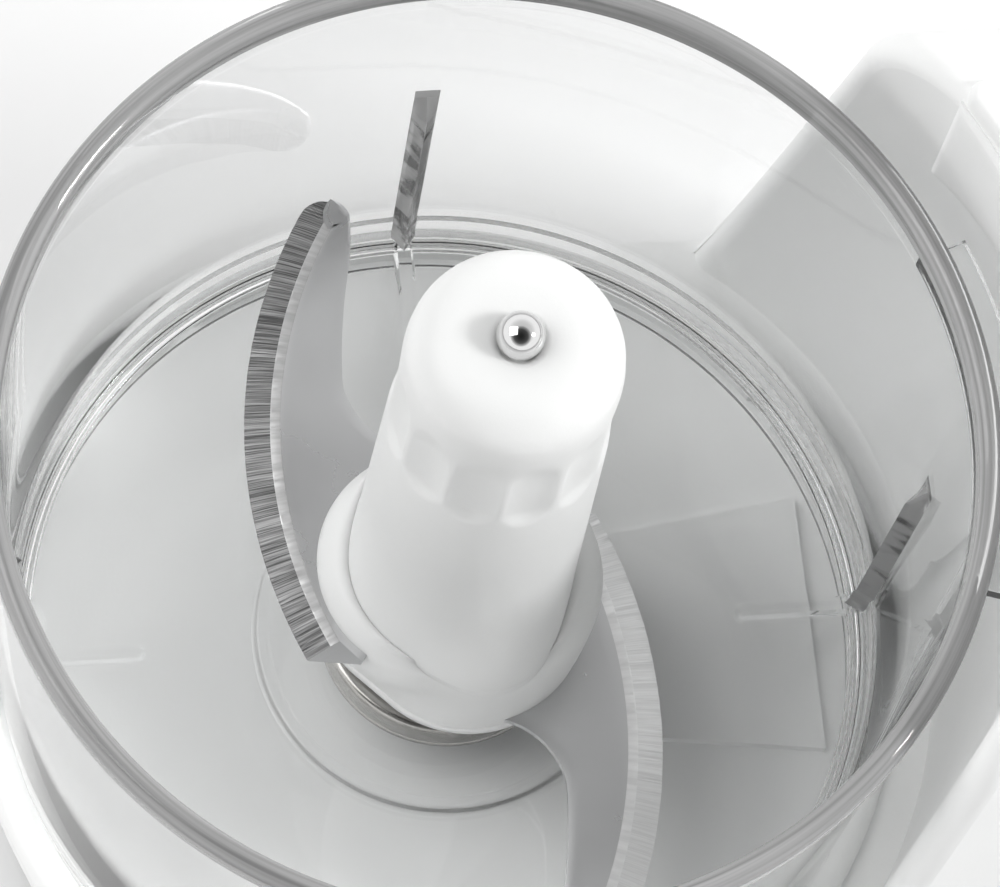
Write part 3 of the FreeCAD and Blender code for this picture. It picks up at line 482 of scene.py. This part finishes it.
def bowl_profile():
    """(radius, height) round the bowl's wall: up its outside, over its rim, down its inside and
    along its floor to the boss, whose bore closes the outline."""
    outer_low, outer_high = WALL_LOW + WALL, WALL_HIGH + WALL
    outside = [
        (12, FLOOR - 6), (18, FLOOR - 6, 0.5), (18, UNDER, 1), (82, UNDER, 1), (82, BOWL_FOOT, 0.5),
        (84.8, BOWL_FOOT, 0.8), (85.4, 50.5, 0.4), (outer_low, 52.5, 0.6), (outer_low + 0.3, FLOOR + 12, 2),
        (outer_high - 0.3, LEDGE_LOW - 0.4, 0.3), (outer_high, LEDGE_LOW, 0.1),
        (outer_high, LEDGE_HIGH - 0.2, 0.1), (outer_high, LEDGE_HIGH + 0.2, 0.3)]
    rim = [
        (RIM_R, RIM_TOP - 5, 0.8), (RIM_R, RIM_TOP, 2.2), (WALL_HIGH + 0.2, RIM_TOP, 1.9),
        (WALL_HIGH, RIM_TOP - 5, 1)]
    inside = [
        (WALL_HIGH - 0.4, RIB_TOP + 4), (WALL_HIGH - 0.42, RIB_TOP + 1), (WALL_HIGH - 0.45, RIB_TOP - 4),
        (WALL_LOW + 0.2, STEP_HIGH + 1, 0.6), (WALL_LOW - 0.4, STEP_HIGH + 0.2, 0.4),
        (WALL_LOW - 0.4, FLOOR + 4, 0.5), (WALL_LOW - 1.2, FLOOR, 1.6), (80.5, FLOOR, 0.5),
        (80.2, SUNK, 0.3)]
    bar_end = [(BAR_END + ahead, SUNK) for ahead in (6, 1.2, 0, -0.7, -1.2, -1.6, -1.85, -2.05, -3)]
    boss = [
        (BOSS_R, SUNK, 0.8), (BOSS_R - 0.6, FLOOR + 1.4, 0.5), (BOSS_R - 2.6, FLOOR + 1.4, 0.5),
        (BOSS_R - 3, FLOOR + 1.2, 0.5), (20, FLOOR + 1.2, 1), (18.4, FLOOR + 9.5, 0.5), (12, FLOOR + 9.5)]
    return rounded(outside + rim + inside + bar_end + boss)


def bowl_point(radius, height, inside, column):
    """A point of the profile in one column, moved for the ribs, the floor bars and the rim's tab."""
    base, offset, angle = column
    at_quarter = angle == 0
    in_rib = at_quarter and abs(offset) < RIB_HALF and radius > 70 and FLOOR + 1 < height < RIB_TOP + 4
    if inside and in_rib:
        share = 1 - abs(offset) / RIB_HALF
        share *= 1 - min(1, max(0, (height - RIB_TOP + 4) / RIB_FADE))
        radius -= RIB_DEEP * share
    if inside and at_quarter and radius > 50 and height < FLOOR + BAR_HIGH:
        away = math.hypot(offset, max(0, BAR_END - radius))
        height = max(height, SUNK + BAR_HIGH * ease((BAR_HALF + 0.05 - away) / BAR_SOFT))
    heading = base + angle
    on_tab = TAB_FROM + 0.1 < heading < TAB_TO - 0.1
    if not inside and on_tab and LEDGE_LOW - 0.2 < height < LEDGE_HIGH:
        radius += TAB_REACH
    turn = math.radians(heading) + math.asin(offset / max(radius, 50))
    return around(BOWL_AXIS, radius, turn, height)


def bowl():
    """The clear bowl, with its rim and ribs in looks of their own, darkened in streaks with painted shade.
    """
    profile = bowl_profile()
    columns = bowl_columns()
    inner_from = next(index for index, point in enumerate(profile)
                      if point.x < WALL_HIGH + 0.3 and point.y > RIM_TOP - 6)
    rows = []
    for index, point in enumerate(profile):
        rows.append([bowl_point(*point, index >= inner_from, column) for column in columns])
    rim_rows = {index for index, point in enumerate(profile[:-1])
                if min(point.y, profile[index + 1].y) > RIM_TOP - 6.3}
    rib_rows = {index for index, point in enumerate(profile)
                if index >= inner_from and point.x > 82.5 and FLOOR + 3 < point.y < RIB_TOP + 4}
    rib_columns = {index for index, (_, offset, angle) in enumerate(columns)
                   if angle == 0 and -RIB_HALF <= offset < RIB_HALF}

    def looks(i, j):
        return 1 if i in rim_rows else 2 if i in rib_rows and j in rib_columns else 0

    mesh = grid_mesh("bowl_shell", rows, True, paint=looks)
    # The rim and the ribs are darkened in streaks with painted shade for the dark surroundings seen through
    # the clear plastic; the rim's stronger absorption is painted shade too.
    rim_painted_shade = [(0.3, 0.5), (0.45, 0.75), (0.6, 0.92), (0.72, 1)]
    rib_painted_shade = [(0.36, 0.3), (0.42, 0.8), (0.5, 1), (0.66, 1)]
    rim = clear("rim_clear", (1, 1, 1), 30, (1.2, 900, 700), rim_painted_shade, 0.62)
    rib = clear("rib_clear", (1, 1, 1), 10, (2, 100, 150), rib_painted_shade, 0.65)
    finished("bowl_shell", mesh, "bowl_clear", "bowl_unit", ["bowl"], 28, [rim, rib])


# ---------------------------------------------------------------- knife

# The collar's outline is round-ended: a radius, how far its ends reach, and which way they point.
LIP_R, LIP_REACH, LIP_TURN = 22, 4.5, math.radians(44)
COLLAR_R, COLLAR_REACH, COLLAR_TURN = 23.4, 4.2, math.radians(77)
COLLAR_LOW = foot("hub_insert")
COLLAR_TOP = COLLAR_LOW + 32
SEAM_RISE = 27
BORE_R = 12.2
LOBE_TURN = math.radians(14)
LOBE_REACH = 5.5
COLUMN_LOW, COLUMN_TOP = 21.1, 18.5
SEAM = foot("hub_column")
HUB_TOP = top("hub_column")
FLUTE_LOW, FLUTE_HIGH = HUB_TOP - 37, HUB_TOP - 14
FLUTES = 12
FLUTE_TURN = math.radians(8.5)
FLUTE_DEEP = 1.25
HUB_SEGMENTS = 288


def stadium(angle, radius, reach, turn):
    """How far a round-ended outline, its long way turned by turn, reaches at an angle."""
    across = abs(math.cos(angle - turn))
    along = abs(math.sin(angle - turn))
    if along > 1e-6 and radius / along * across < reach:
        return radius / along
    return reach * across + math.sqrt(radius ** 2 - (reach * along) ** 2)


def hub_rows(stations):
    """Rings of points; a station is (height, radius), and the radius may be a function of the
    angle."""
    rows = []
    for height, reach in stations:
        row = []
        for step in range(HUB_SEGMENTS):
            angle = 2 * math.pi * step / HUB_SEGMENTS
            radius = reach(angle) if callable(reach) else reach
            row.append(around(BOWL_AXIS, radius, angle, height))
        rows.append(row)
    return rows


def foot_reach(height):
    """How far the column's two lobes stand out; they fade out a little above the collar."""
    return LOBE_REACH * ease((COLLAR_TOP + 14 - height) / 20)


def column_at(height, angle):
    """The column's radius: a taper, two low lobes, and twelve hollows below its top."""
    taper = COLUMN_LOW + (COLUMN_TOP - COLUMN_LOW) * max(0, height - COLLAR_TOP) / (HUB_TOP - COLLAR_TOP)
    radius = taper + foot_reach(height) * math.cos(angle - LOBE_TURN) ** 6
    swing = abs(((angle - FLUTE_TURN) * FLUTES / (2 * math.pi) + 0.5) % 1 - 0.5) * 2
    hollow = max(0, 1 - (swing / 0.9) ** 2)
    low_end = ease((height - FLUTE_LOW + 2.6 * hollow) / 3.4)
    high_end = ease((FLUTE_HIGH - height + 2.5 * hollow) / 9)
    return radius - FLUTE_DEEP * hollow ** 0.8 * low_end * high_end


def collar_at(flare, grow):
    """The collar's outline, from its lip at flare 0 to its widest at flare 1."""
    radius = LIP_R + (COLLAR_R - LIP_R) * flare + grow
    reach = LIP_REACH + (COLLAR_REACH - LIP_REACH) * flare
    turn = LIP_TURN + (COLLAR_TURN - LIP_TURN) * flare
    return lambda angle: stadium(angle, radius, reach, turn)


def blade_collar():
    """The milky collar round the blades' roots, with a soft groove up to the column's foot."""
    seam = COLLAR_LOW + SEAM_RISE
    lip = [(-1.4, 0, 0), (-1.1, 0, 0.35), (0.5, 0, 0.4), (0.8, 0, 0.2), (1.0, 0, -0.15), (1.6, 0.05, -0.1)]
    side = [(4, 0.2, 0), (8, 0.45, 0), (12, 0.72, 0), (16, 0.92, 0), (19, 1, 0)]
    shoulder = [(21.5, 1, -0.15), (23.6, 1, -0.6), (25.2, 1, -1.3), (26.3, 1, -2.1)]
    stations = [(COLLAR_LOW - 1.4, BORE_R)]
    for rise, flare, grow in lip + side + shoulder:
        stations.append((COLLAR_LOW + rise, collar_at(flare, grow)))
    crown = collar_at(1, -2.1)
    for share, rise in ((0.2, 27.2), (0.42, 28.0), (0.62, 28.3), (0.8, 28.3), (0.93, 28.15), (1.0, 27.9)):
        stations.append((COLLAR_LOW + rise, lambda angle, share=share: (
            crown(angle) * (1 - share) + (column_at(seam, angle) - 0.1) * share)))
    stations += [(seam - 1.5, lambda angle: column_at(seam, angle) - 0.4), (seam - 1.5, BORE_R)]
    mesh = grid_mesh("collar_skin", hub_rows(stations), True)
    finished("collar_skin", mesh, "hub_plastic", "knife", ["blade_collar"], 50)


BORE_TOP = SEAM + 59
HUB_ROUND = 9
FLUTE_STEPS = 33


def hub_column():
    """The milky column with its rounded top and the seat of the ball."""
    stations = [(BORE_TOP, 0.01), (BORE_TOP, BORE_R), (SEAM, BORE_R)]
    stations.append((SEAM, lambda angle: column_at(SEAM, angle) - 0.3))
    fluted_from = FLUTE_LOW - 4
    fluted_high = FLUTE_HIGH - FLUTE_LOW + 8
    height = SEAM + 0.3
    while height < fluted_from:
        stations.append((height, lambda angle, height=height: column_at(height, angle)))
        height += 2.5
    for step in range(FLUTE_STEPS + 1):
        height = fluted_from + fluted_high * step / FLUTE_STEPS
        stations.append((height, lambda angle, height=height: column_at(height, angle)))
    for degrees in range(0, 91, 9):
        turn = math.radians(degrees)
        inset = HUB_ROUND * (1 - math.cos(turn))
        stations.append((HUB_TOP - 8 + 8 * math.sin(turn), COLUMN_TOP - inset))
    stations += [(HUB_TOP - 0.05, 8), (HUB_TOP - 0.1, 5.4), (HUB_TOP - 0.3, 4.6), (HUB_TOP - 1, 4.1),
                 (HUB_TOP - 2.2, 2.6), (HUB_TOP - 2.9, 0.01)]
    mesh = grid_mesh("column_skin", hub_rows(stations), False)
    finished("column_skin", mesh, "hub_plastic", "knife", ["hub_column"], 50)


BLADE_THICK = 2.0
EDGE_R = 95
HEEL = Vector((16, -30))
TIP = Vector((-74.5, -23))
TIP_END = Vector((-75.9, -17.6))
BEVEL_WIDE = 5.0
LAND_WIDE = 1.7
BEVEL_DEEP = 1.6
NICK_KEPT, NICK_NEW = 0.55, 0.07
FLAT_STEPS = 8


def arc_points(start, finish, bend, count):
    """Points from start to finish on the short arc of radius abs(bend); a positive bend
    bulges to the left of the way."""
    chord = finish - start
    left = Vector((-chord.y, chord.x)).normalized()
    drop = math.sqrt(max(bend ** 2 - chord.length_squared / 4, 0))
    centre = (start + finish) / 2 - left * math.copysign(drop, bend)
    from_angle = math.atan2(start.y - centre.y, start.x - centre.x)
    to_angle = math.atan2(finish.y - centre.y, finish.x - centre.x)
    sweep = (to_angle - from_angle + math.pi) % (2 * math.pi) - math.pi
    radius = abs(bend)
    angles = [from_angle + sweep * index / (count - 1) for index in range(count)]
    return [centre + radius * Vector((math.cos(angle), math.sin(angle))) for angle in angles]


def chained(corners, spacing):
    """Arcs through (point, bend) corners, with points about spacing apart; the last has no bend."""
    points = [corners[0][0]]
    for (start, bend), (finish, _) in zip(corners, corners[1:]):
        count = max(3, round((finish - start).length / spacing) + 1)
        points += arc_points(start, finish, bend, count)[1:]
    return points


def blade_outline():
    """The cutting edge and the spine behind it, each from heel to tip, with as many points."""
    edge = chained([(HEEL, EDGE_R), (TIP, 5), (TIP_END, 5)], 0.3)
    spine = chained([(Vector((17.4, -20)), -46), (Vector((-14, -7)), 40), (Vector((-24, -6)), 16),
                     (Vector((-38, -18.6)), 120), (Vector((-62, -15.2)), -60), (Vector((-72.5, -14.2)), -5),
                     (TIP_END, 5)], 0.2)
    count = len(edge)
    return edge, [spine[round(index * (len(spine) - 1) / (count - 1))] for index in range(count)]


def edge_centre():
    """The middle of the arc that the cutting edge follows."""
    top_of_arc = arc_points(HEEL, TIP, EDGE_R, 3)[1]
    halfway = (HEEL + TIP) / 2
    half_chord = (TIP - HEEL) / 2
    sag = (top_of_arc - halfway).length
    radius = (half_chord.length_squared + sag ** 2) / (2 * sag)
    return top_of_arc + (halfway - top_of_arc).normalized() * radius


def blade_section(here, back, normal, nick):
    """(place, rise over the flat) round one section: bevel, land, flat, spine and underside."""
    across = [0, 0.5, BEVEL_WIDE * 0.5, BEVEL_WIDE - 0.1, BEVEL_WIDE + 0.1, BEVEL_WIDE + LAND_WIDE - 0.15,
              BEVEL_WIDE + LAND_WIDE + 0.15]
    depth = [BEVEL_DEEP, BEVEL_DEEP * 0.9, BEVEL_DEEP * 0.5, 0.24, 0.2, 0.04, 0]
    width = (back - here).length
    points = []
    for distance, down in zip(across, depth):
        reach = min(distance, width * 0.9)
        spot = here + normal * reach
        on_bevel = distance < BEVEL_WIDE
        rough = nick * (0.4 + 0.6 * down / BEVEL_DEEP) if on_bevel else 0
        if distance == 0:
            spot = here - normal * (0.25 * nick - 0.05)
        share = reach / distance if distance > 0 else 1
        points.append((spot, -down * share + rough - (0.02 if on_bevel else 0)))
    inner = points[-1][0]
    for step in range(1, FLAT_STEPS + 1):
        points.append((inner.lerp(back, step / FLAT_STEPS), 0 if step < FLAT_STEPS else -0.15))
    points.append((back, -BLADE_THICK + 0.15))
    points.append((back.lerp(here, min(0.5, 0.2 / max(width, 0.2))), -BLADE_THICK))
    points.append((here.lerp(back, 0.02), -BLADE_THICK))
    return points


def blade(name, node, turn, seed, bevel_painted_light, land_painted_light):
    """A curved blade: a coarsely ground bevel, a narrow second bevel, and a polished flat; the greys of
    both bevels are painted light and shade, set for each blade.
    """
    random.seed(seed)
    height = top(node)
    spin = Matrix.Rotation(math.radians(turn), 2)
    edge, spine = blade_outline()
    last = len(edge) - 1
    rows = []
    nick = 0
    for index, (here, back) in enumerate(zip(edge, spine)):
        ahead = edge[min(index + 1, last)] - edge[max(index - 1, 0)]
        normal = Vector((ahead.y, -ahead.x)).normalized()
        if normal.dot(back - here) < 0:
            normal = -normal
        nick = NICK_KEPT * nick + random.uniform(-NICK_NEW, NICK_NEW)
        row = []
        for spot, rise in blade_section(here, back, normal, nick):
            placed = spin @ spot
            row.append((BOWL_AXIS.x + placed.x, BOWL_AXIS.y + placed.y, height + rise))
        rows.append(row)
    bevel_columns, land_columns = 3, 6

    def looks(i, j):
        return 1 if j < bevel_columns else 2 if j < land_columns else 0

    mesh = grid_mesh(name, rows, False, caps=(0,), paint=looks)
    centre = BOWL_AXIS.xy + spin @ edge_centre()
    bevel = ground_steel(name + "_bevel", centre, *bevel_painted_light, 420, 0.00003)
    land = ground_steel(name + "_land", centre, *land_painted_light, 90, 0.000002)
    finished(name, mesh, "blade_steel", "knife", [node], 14, [bevel, land])


BALL_R = 4.15
BALL_STEPS = 32


def ball():
    """The polished steel ball pressed into the hub, down to its seat."""
    height = top("steel_ball") - BALL_R
    seat = HUB_TOP - 2.4
    profile = [(0.001, seat), (BALL_R - 0.3, seat)]
    for step in range(-BALL_STEPS // 4, BALL_STEPS + 1):
        angle = math.pi / 2 * step / BALL_STEPS
        profile.append((max(0.001, BALL_R * math.cos(angle)), height + BALL_R * math.sin(angle)))
    mesh = lathe("ball_polished", profile, BOWL_AXIS, 96, closed=False)
    finished("ball_polished", mesh, "ball_steel", "knife", ["steel_ball"], 60)


CUP_R = 24.5
CUP_BORE = 22.4


def collar():
    """The turned steel cup round the drive post, with faint tool rings."""
    low, high = foot("steel_collar"), top("steel_collar")
    profile = rounded([
        (8, high - 2.5), (CUP_BORE, high - 2.5, 1), (CUP_BORE, low, 0.3), (CUP_R, low, 0.4),
        (CUP_R, low + 1.6, 0.1), (CUP_R - 0.3, low + 1.9, 0.1), (CUP_R, low + 2.2, 0.1),
        (CUP_R, high - 0.2, 1.4), (CUP_BORE, high, 0.6), (14, high, 0.4), (13.4, high - 0.3, 0.3),
        (8, high - 0.3)])
    mesh = lathe("collar_turned", profile, BOWL_AXIS, 160)
    finished("collar_turned", mesh, "collar_steel", "drive_unit", ["steel_collar"], 30)


# ---------------------------------------------------------------- tower, knob, feet and gland

CAP_HALF = 53
CAP_FRONT_R = 100.1
CAP_BACK = 152
CAP_STEPS = 40
ROD_HOLE_R = 3.3
SHAFT_HOLE_R = 3.5


def tower_cap():
    """The raised panel on the tower: its front drops over the edge of the bowl's bay."""
    high = top("tower_cap")
    side_y = math.sqrt(CAP_FRONT_R ** 2 - CAP_HALF ** 2)
    corners = [(-CAP_HALF, side_y, 3.4)]
    for step in range(4, CAP_STEPS - 3):
        x = -CAP_HALF + 2 * CAP_HALF * step / CAP_STEPS
        corners.append((x, math.sqrt(CAP_FRONT_R ** 2 - x ** 2)))
    corners += [(CAP_HALF, side_y, 3.4), (CAP_HALF, CAP_BACK, 14), (-CAP_HALF, CAP_BACK, 14)]
    outline = [point + BOWL_AXIS.xy for point in rounded(corners)]
    levels = [(0.2, high - 6.8), (0, high - 6.2), (0, high - 2.4), (0.15, high - 1.5), (0.5, high - 0.8),
              (1.1, high - 0.3), (1.9, high - 0.05), (2.8, high)]
    rod = middle("interlock_rod")
    holes = [(rod.x, rod.y, ROD_HOLE_R), (KNOB_AXIS.x, KNOB_AXIS.y, SHAFT_HOLE_R)]
    mesh = drilled(slab("cap_skin", outline, levels), holes)
    finished("cap_skin", mesh, "housing_plastic", "base", ["tower_cap"], 40)


PAD_INNER, PAD_OUTER = 98.6, 103.0
PAD_HALF = math.radians(30.2)
PAD_SOFT = 1.8


def bay_panel():
    """A slightly raised pad on the wall of the bowl's bay, with an arched lower edge."""
    high = RIM_TOP + 17.5
    ends = [0, 0.25, 0.6, 1.1, PAD_SOFT]
    span = 2 * PAD_HALF * PAD_INNER
    places = ends + [span * step / 60 for step in range(2, 59)] + [span - end for end in reversed(ends)]
    rows = []
    for place in places:
        angle = math.pi / 2 + PAD_HALF - place / PAD_INNER
        low = RIM_TOP - 1.5 - 11 * ((angle - math.pi / 2) / PAD_HALF) ** 2
        heights = [low + end for end in ends] + [low + (high - low) * step / 12 for step in range(2, 11)]
        heights += [high - end for end in reversed(ends)]
        section = []
        for height in heights:
            edge = min(place, span - place, height - low, high - height)
            section.append((PAD_INNER + 1.0 * (1 - ease(edge / PAD_SOFT)) ** 1.5, height))
        section += [(PAD_OUTER, height) for height in reversed(heights)]
        rows.append([around(BOWL_AXIS, radius, angle, height) for radius, height in section])
    mesh = grid_mesh("bay_panel", rows, False, caps=(0, -1))
    finished("bay_panel", mesh, "housing_plastic", "base", (), 50)


KNOB_BORE = 3.05
SCALLOPS = 30
SCALLOP_DEEP = 0.55
GRIP_HALF, GRIP_REACH, GRIP_ROUND = 4.5, 15, 3.8
POINTER_HALF, POINTER_REACH, POINTER_ROUND = 1, 3.5, 0.95


def bar_outline(half, reach, corner, centre):
    """A bar along Y with rounded corners."""
    corners = [(-half, -reach), (half, -reach), (half, reach), (-half, reach)]
    return [point + centre.xy for point in rounded([(x, y, corner) for x, y in corners])]


def knob():
    """A low scalloped skirt with a tapered grip bar, and a flush pointer."""
    low = foot("control_knob")
    high = foot("knob_pointer")
    profile = rounded([(KNOB_BORE, low), (17.2, low, 0.5), (18, low + 0.8, 0.5), (17.6, low + 3.6, 1),
                       (15.8, low + 7, 2), (12, low + 8.4, 2), (KNOB_BORE, low + 8.5)])

    def scalloped(angle, radius, height):
        wave = abs(math.sin(SCALLOPS / 2 * angle)) * ease((radius - 14) / 3)
        return radius - (SCALLOP_DEEP * wave if height > low + 1 else 0), height

    skirt = lathe("knob_skirt", profile, KNOB_AXIS, 360, shape=scalloped)
    finished("knob_skirt", skirt, "knob_plastic", "knob", ["control_knob"], 40)
    grip_levels = [(-0.5, low + 5), (0, low + 8), (0.35, high - 2), (0.55, high - 0.9), (0.95, high - 0.3),
                   (1.6, high)]
    grip = slab("knob_grip", bar_outline(GRIP_HALF, GRIP_REACH, GRIP_ROUND, KNOB_AXIS), grip_levels)
    finished("knob_grip", grip, "knob_plastic", "knob", (), 50)
    pointer = middle("knob_pointer")
    line = bar_outline(POINTER_HALF, POINTER_REACH, POINTER_ROUND, pointer)
    inlay_levels = [(0, high - 0.5), (0, high + 0.3), (0.12, high + 0.42), (0.3, high + 0.5)]
    inlay = slab("pointer_inlay", line, inlay_levels)
    finished("pointer_inlay", inlay, "pointer_plastic", "knob", ["knob_pointer"], 50)


FOOT_R = 9
GROOVE_DEEP = 0.5


def feet():
    """Soft feet with concentric grips underneath."""
    for side in ("left_front", "right_front", "left_back", "right_back"):
        name = "foot_" + side
        high = top(name)
        profile = [(0.01, GROOVE_DEEP)]
        for radius in (2.2, 4.4, 6.6):
            profile += [(radius - 1.1, GROOVE_DEEP), (radius - 0.9, 0)]
            profile += [(radius + 0.5, 0), (radius + 0.7, GROOVE_DEEP)]
        profile += [(8.2, 0.35), (8.7, 0.6), (FOOT_R, 1.2), (8.9, high - 1.2), (FOOT_R, high), (0.01, high)]
        mesh = lathe(name + "_grip", profile, middle(name), 96, closed=False)
        finished(name + "_grip", mesh, "foot_rubber", "base", [name], 30)


GLAND_BORE = 3.2
GLAND_LONG = 18
GLAND_RIBS = 4


def cord_gland():
    """The cord's inlet: a flange on the back wall and a ribbed sleeve."""
    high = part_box("cord_gland")[1]
    wall = high.y / MM - GLAND_LONG
    profile = [(GLAND_BORE, -8), (9, -8), (9, -3.2), (5.8, -3.2), (5.8, 2.2), (8.2, 2.2), (8.5, 2.6),
               (8.4, 3.8), (7.6, 4.4)]
    for rib in range(GLAND_RIBS):
        start = 5.4 + 3 * rib
        reach = 6.4 - 0.5 * rib
        profile += [(reach - 0.9, start - 0.6), (reach - 0.9, start), (reach, start + 0.3),
                    (reach - 0.15, start + 1.7), (reach - 1.1, start + 2)]
    profile += [(4.0, GLAND_LONG - 0.6), (3.8, GLAND_LONG), (GLAND_BORE, GLAND_LONG)]
    mesh = lathe("gland_ribbed", profile, Vector((0, 0, 0)), 64)
    centre = middle("cord_gland")
    lying = Matrix.Rotation(math.radians(-90), 4, "X")
    mesh.transform(Matrix.Translation((centre.x, wall, centre.z)) @ lying)
    finished("gland_ribbed", mesh, "gland_rubber", "base", ["cord_gland"], 30)


def lock_spring():
    """The interlock's coil spring, copied from its CAD node to ride on the base; the real spring shortens
    as the rod is pressed down, and this copy keeps one length.
    """
    source = frame["nodes"]["interlock_spring"]
    mesh = source.data.copy()
    mesh.transform(source.matrix_world)
    piece = bpy.data.objects.new("spring_coil", mesh)
    bpy.context.scene.collection.objects.link(piece)
    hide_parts("interlock_spring")
    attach(piece, "base")
    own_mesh(piece)


bowl()
blade_collar()
hub_column()
tower_cap()
bay_panel()
knob()
feet()
cord_gland()
lock_spring()
# Both blades are one steel: the upper blade's bevel and land are painted dark with shade, the lower blade's
# painted light.
blade("upper_blade_ground", "upper_blade", 0, 3, (0.07, 0.26), (0.42, 0.52))
blade("lower_blade_ground", "lower_blade", 180, 4, (0.72, 0.8), (0.78, 0.88))
ball()
collar()


# ---------------------------------------------------------------- floor, light and camera

def stage():
    """Pale paper, 12 metres square, under the object."""
    floor = bpy.data.meshes.new("studio_floor")
    reach = 6
    corners = [(-reach, -reach, 0), (reach, -reach, 0), (reach, reach, 0), (-reach, reach, 0)]
    floor.from_pydata(corners, [], [(0, 1, 2, 3)])
    made, tree, shader = material("studio_paper")
    shaded(tree, shader, (0.84, 0.84, 0.84), (0.86, 0.86, 0.86), 2)
    shader.inputs["Roughness"].default_value = 0.8
    floor.materials.append(made)
    piece = bpy.data.objects.new("studio_floor", floor)
    bpy.context.scene.collection.objects.link(piece)


LIT = Vector((0, 0, 0.1))


def soft_box(name, azimuth, elevation, distance, wide, high, power):
    """A rectangular soft light, a distance in metres from a point inside the bowl."""
    light = bpy.data.lights.new(name, "AREA")
    light.shape = "RECTANGLE"
    light.size, light.size_y = wide, high
    light.energy = power
    holder = bpy.data.objects.new(name, light)
    bpy.context.scene.collection.objects.link(holder)
    away = heading(azimuth, elevation)
    holder.location = LIT + away * distance
    holder.rotation_mode = "QUATERNION"
    holder.rotation_quaternion = away.to_track_quat("Z", "Y")


def heading(azimuth, elevation):
    """Unit vector from the object towards a direction; azimuth 0 is -Y and 90 is +X."""
    a, e = math.radians(azimuth), math.radians(elevation)
    return Vector((math.sin(a) * math.cos(e), -math.cos(a) * math.cos(e), math.sin(e)))


def studio_world():
    """A white tent that darkens overhead and towards its open side, where the camera is."""
    world = bpy.data.worlds.new("studio")
    world.use_nodes = True
    bpy.context.scene.world = world
    tree = world.node_tree
    shader = tree.nodes["Background"]
    where = tree.nodes.new("ShaderNodeTexCoord")
    facing = tree.nodes.new("ShaderNodeVectorMath")
    facing.operation = "DOT_PRODUCT"
    joined(tree, where.outputs["Generated"], facing.inputs[0])
    facing.inputs[1].default_value = heading(74, 64)
    spread = maths(tree, "MULTIPLY", maths(tree, "ADD", facing.outputs["Value"], 1), 0.5)
    open_side = ramped(tree, spread, [(0.0, 1.0), (0.82, 1.0), (0.86, 0.5), (0.92, 0.12), (1.0, 0.03)])
    apart = tree.nodes.new("ShaderNodeSeparateXYZ")
    joined(tree, where.outputs["Generated"], apart.inputs["Vector"])
    rise = maths(tree, "MULTIPLY", maths(tree, "ADD", apart.outputs["Z"], 1), 0.5)
    crown = ramped(tree, rise, [(0.5, 1.0), (0.7, 1.0), (0.85, 0.72), (1.0, 0.6)])
    both = tree.nodes.new("ShaderNodeVectorMath")
    both.operation = "MULTIPLY"
    joined(tree, open_side, both.inputs[0])
    joined(tree, crown, both.inputs[1])
    joined(tree, both.outputs["Vector"], shader.inputs["Color"])
    shader.inputs["Strength"].default_value = 1.18


# The lens in millimetres, angles in degrees, and the distance to the aim in metres.
LENS = 173.8
CAMERA_AZIMUTH, CAMERA_RISE, CAMERA_ROLL = 70, 69.1, 15.2
CAMERA_AWAY = 0.8378


def camera():
    """A long lens above the machine's right side, rolled so that uprights lean to the right."""
    lens = bpy.data.cameras.new("camera")
    lens.sensor_width = 36
    lens.lens = LENS
    holder = bpy.data.objects.new("camera", lens)
    bpy.context.scene.collection.objects.link(holder)
    aim = Vector((BOWL_AXIS.x + 2.0, BOWL_AXIS.y + 0.7, RIM_TOP)) * MM
    back = heading(CAMERA_AZIMUTH, CAMERA_RISE)
    holder.location = aim + back * CAMERA_AWAY
    holder.rotation_mode = "QUATERNION"
    upright = (-back).to_track_quat("-Z", "Y")
    rolled = Matrix.Rotation(math.radians(CAMERA_ROLL), 4, "Z").to_quaternion()
    holder.rotation_quaternion = upright @ rolled
    lens.clip_start, lens.clip_end = 0.01, 20
    bpy.context.scene.camera = holder


stage()
studio_world()
soft_box("key", 165, 40, 1.2, 0.24, 0.24, 9)
soft_box("side", 350, 52, 1.4, 0.9, 0.9, 7.3)
camera()
scene = bpy.context.scene
scene.view_settings.view_transform = "Standard"
scene.view_settings.exposure = 0.0
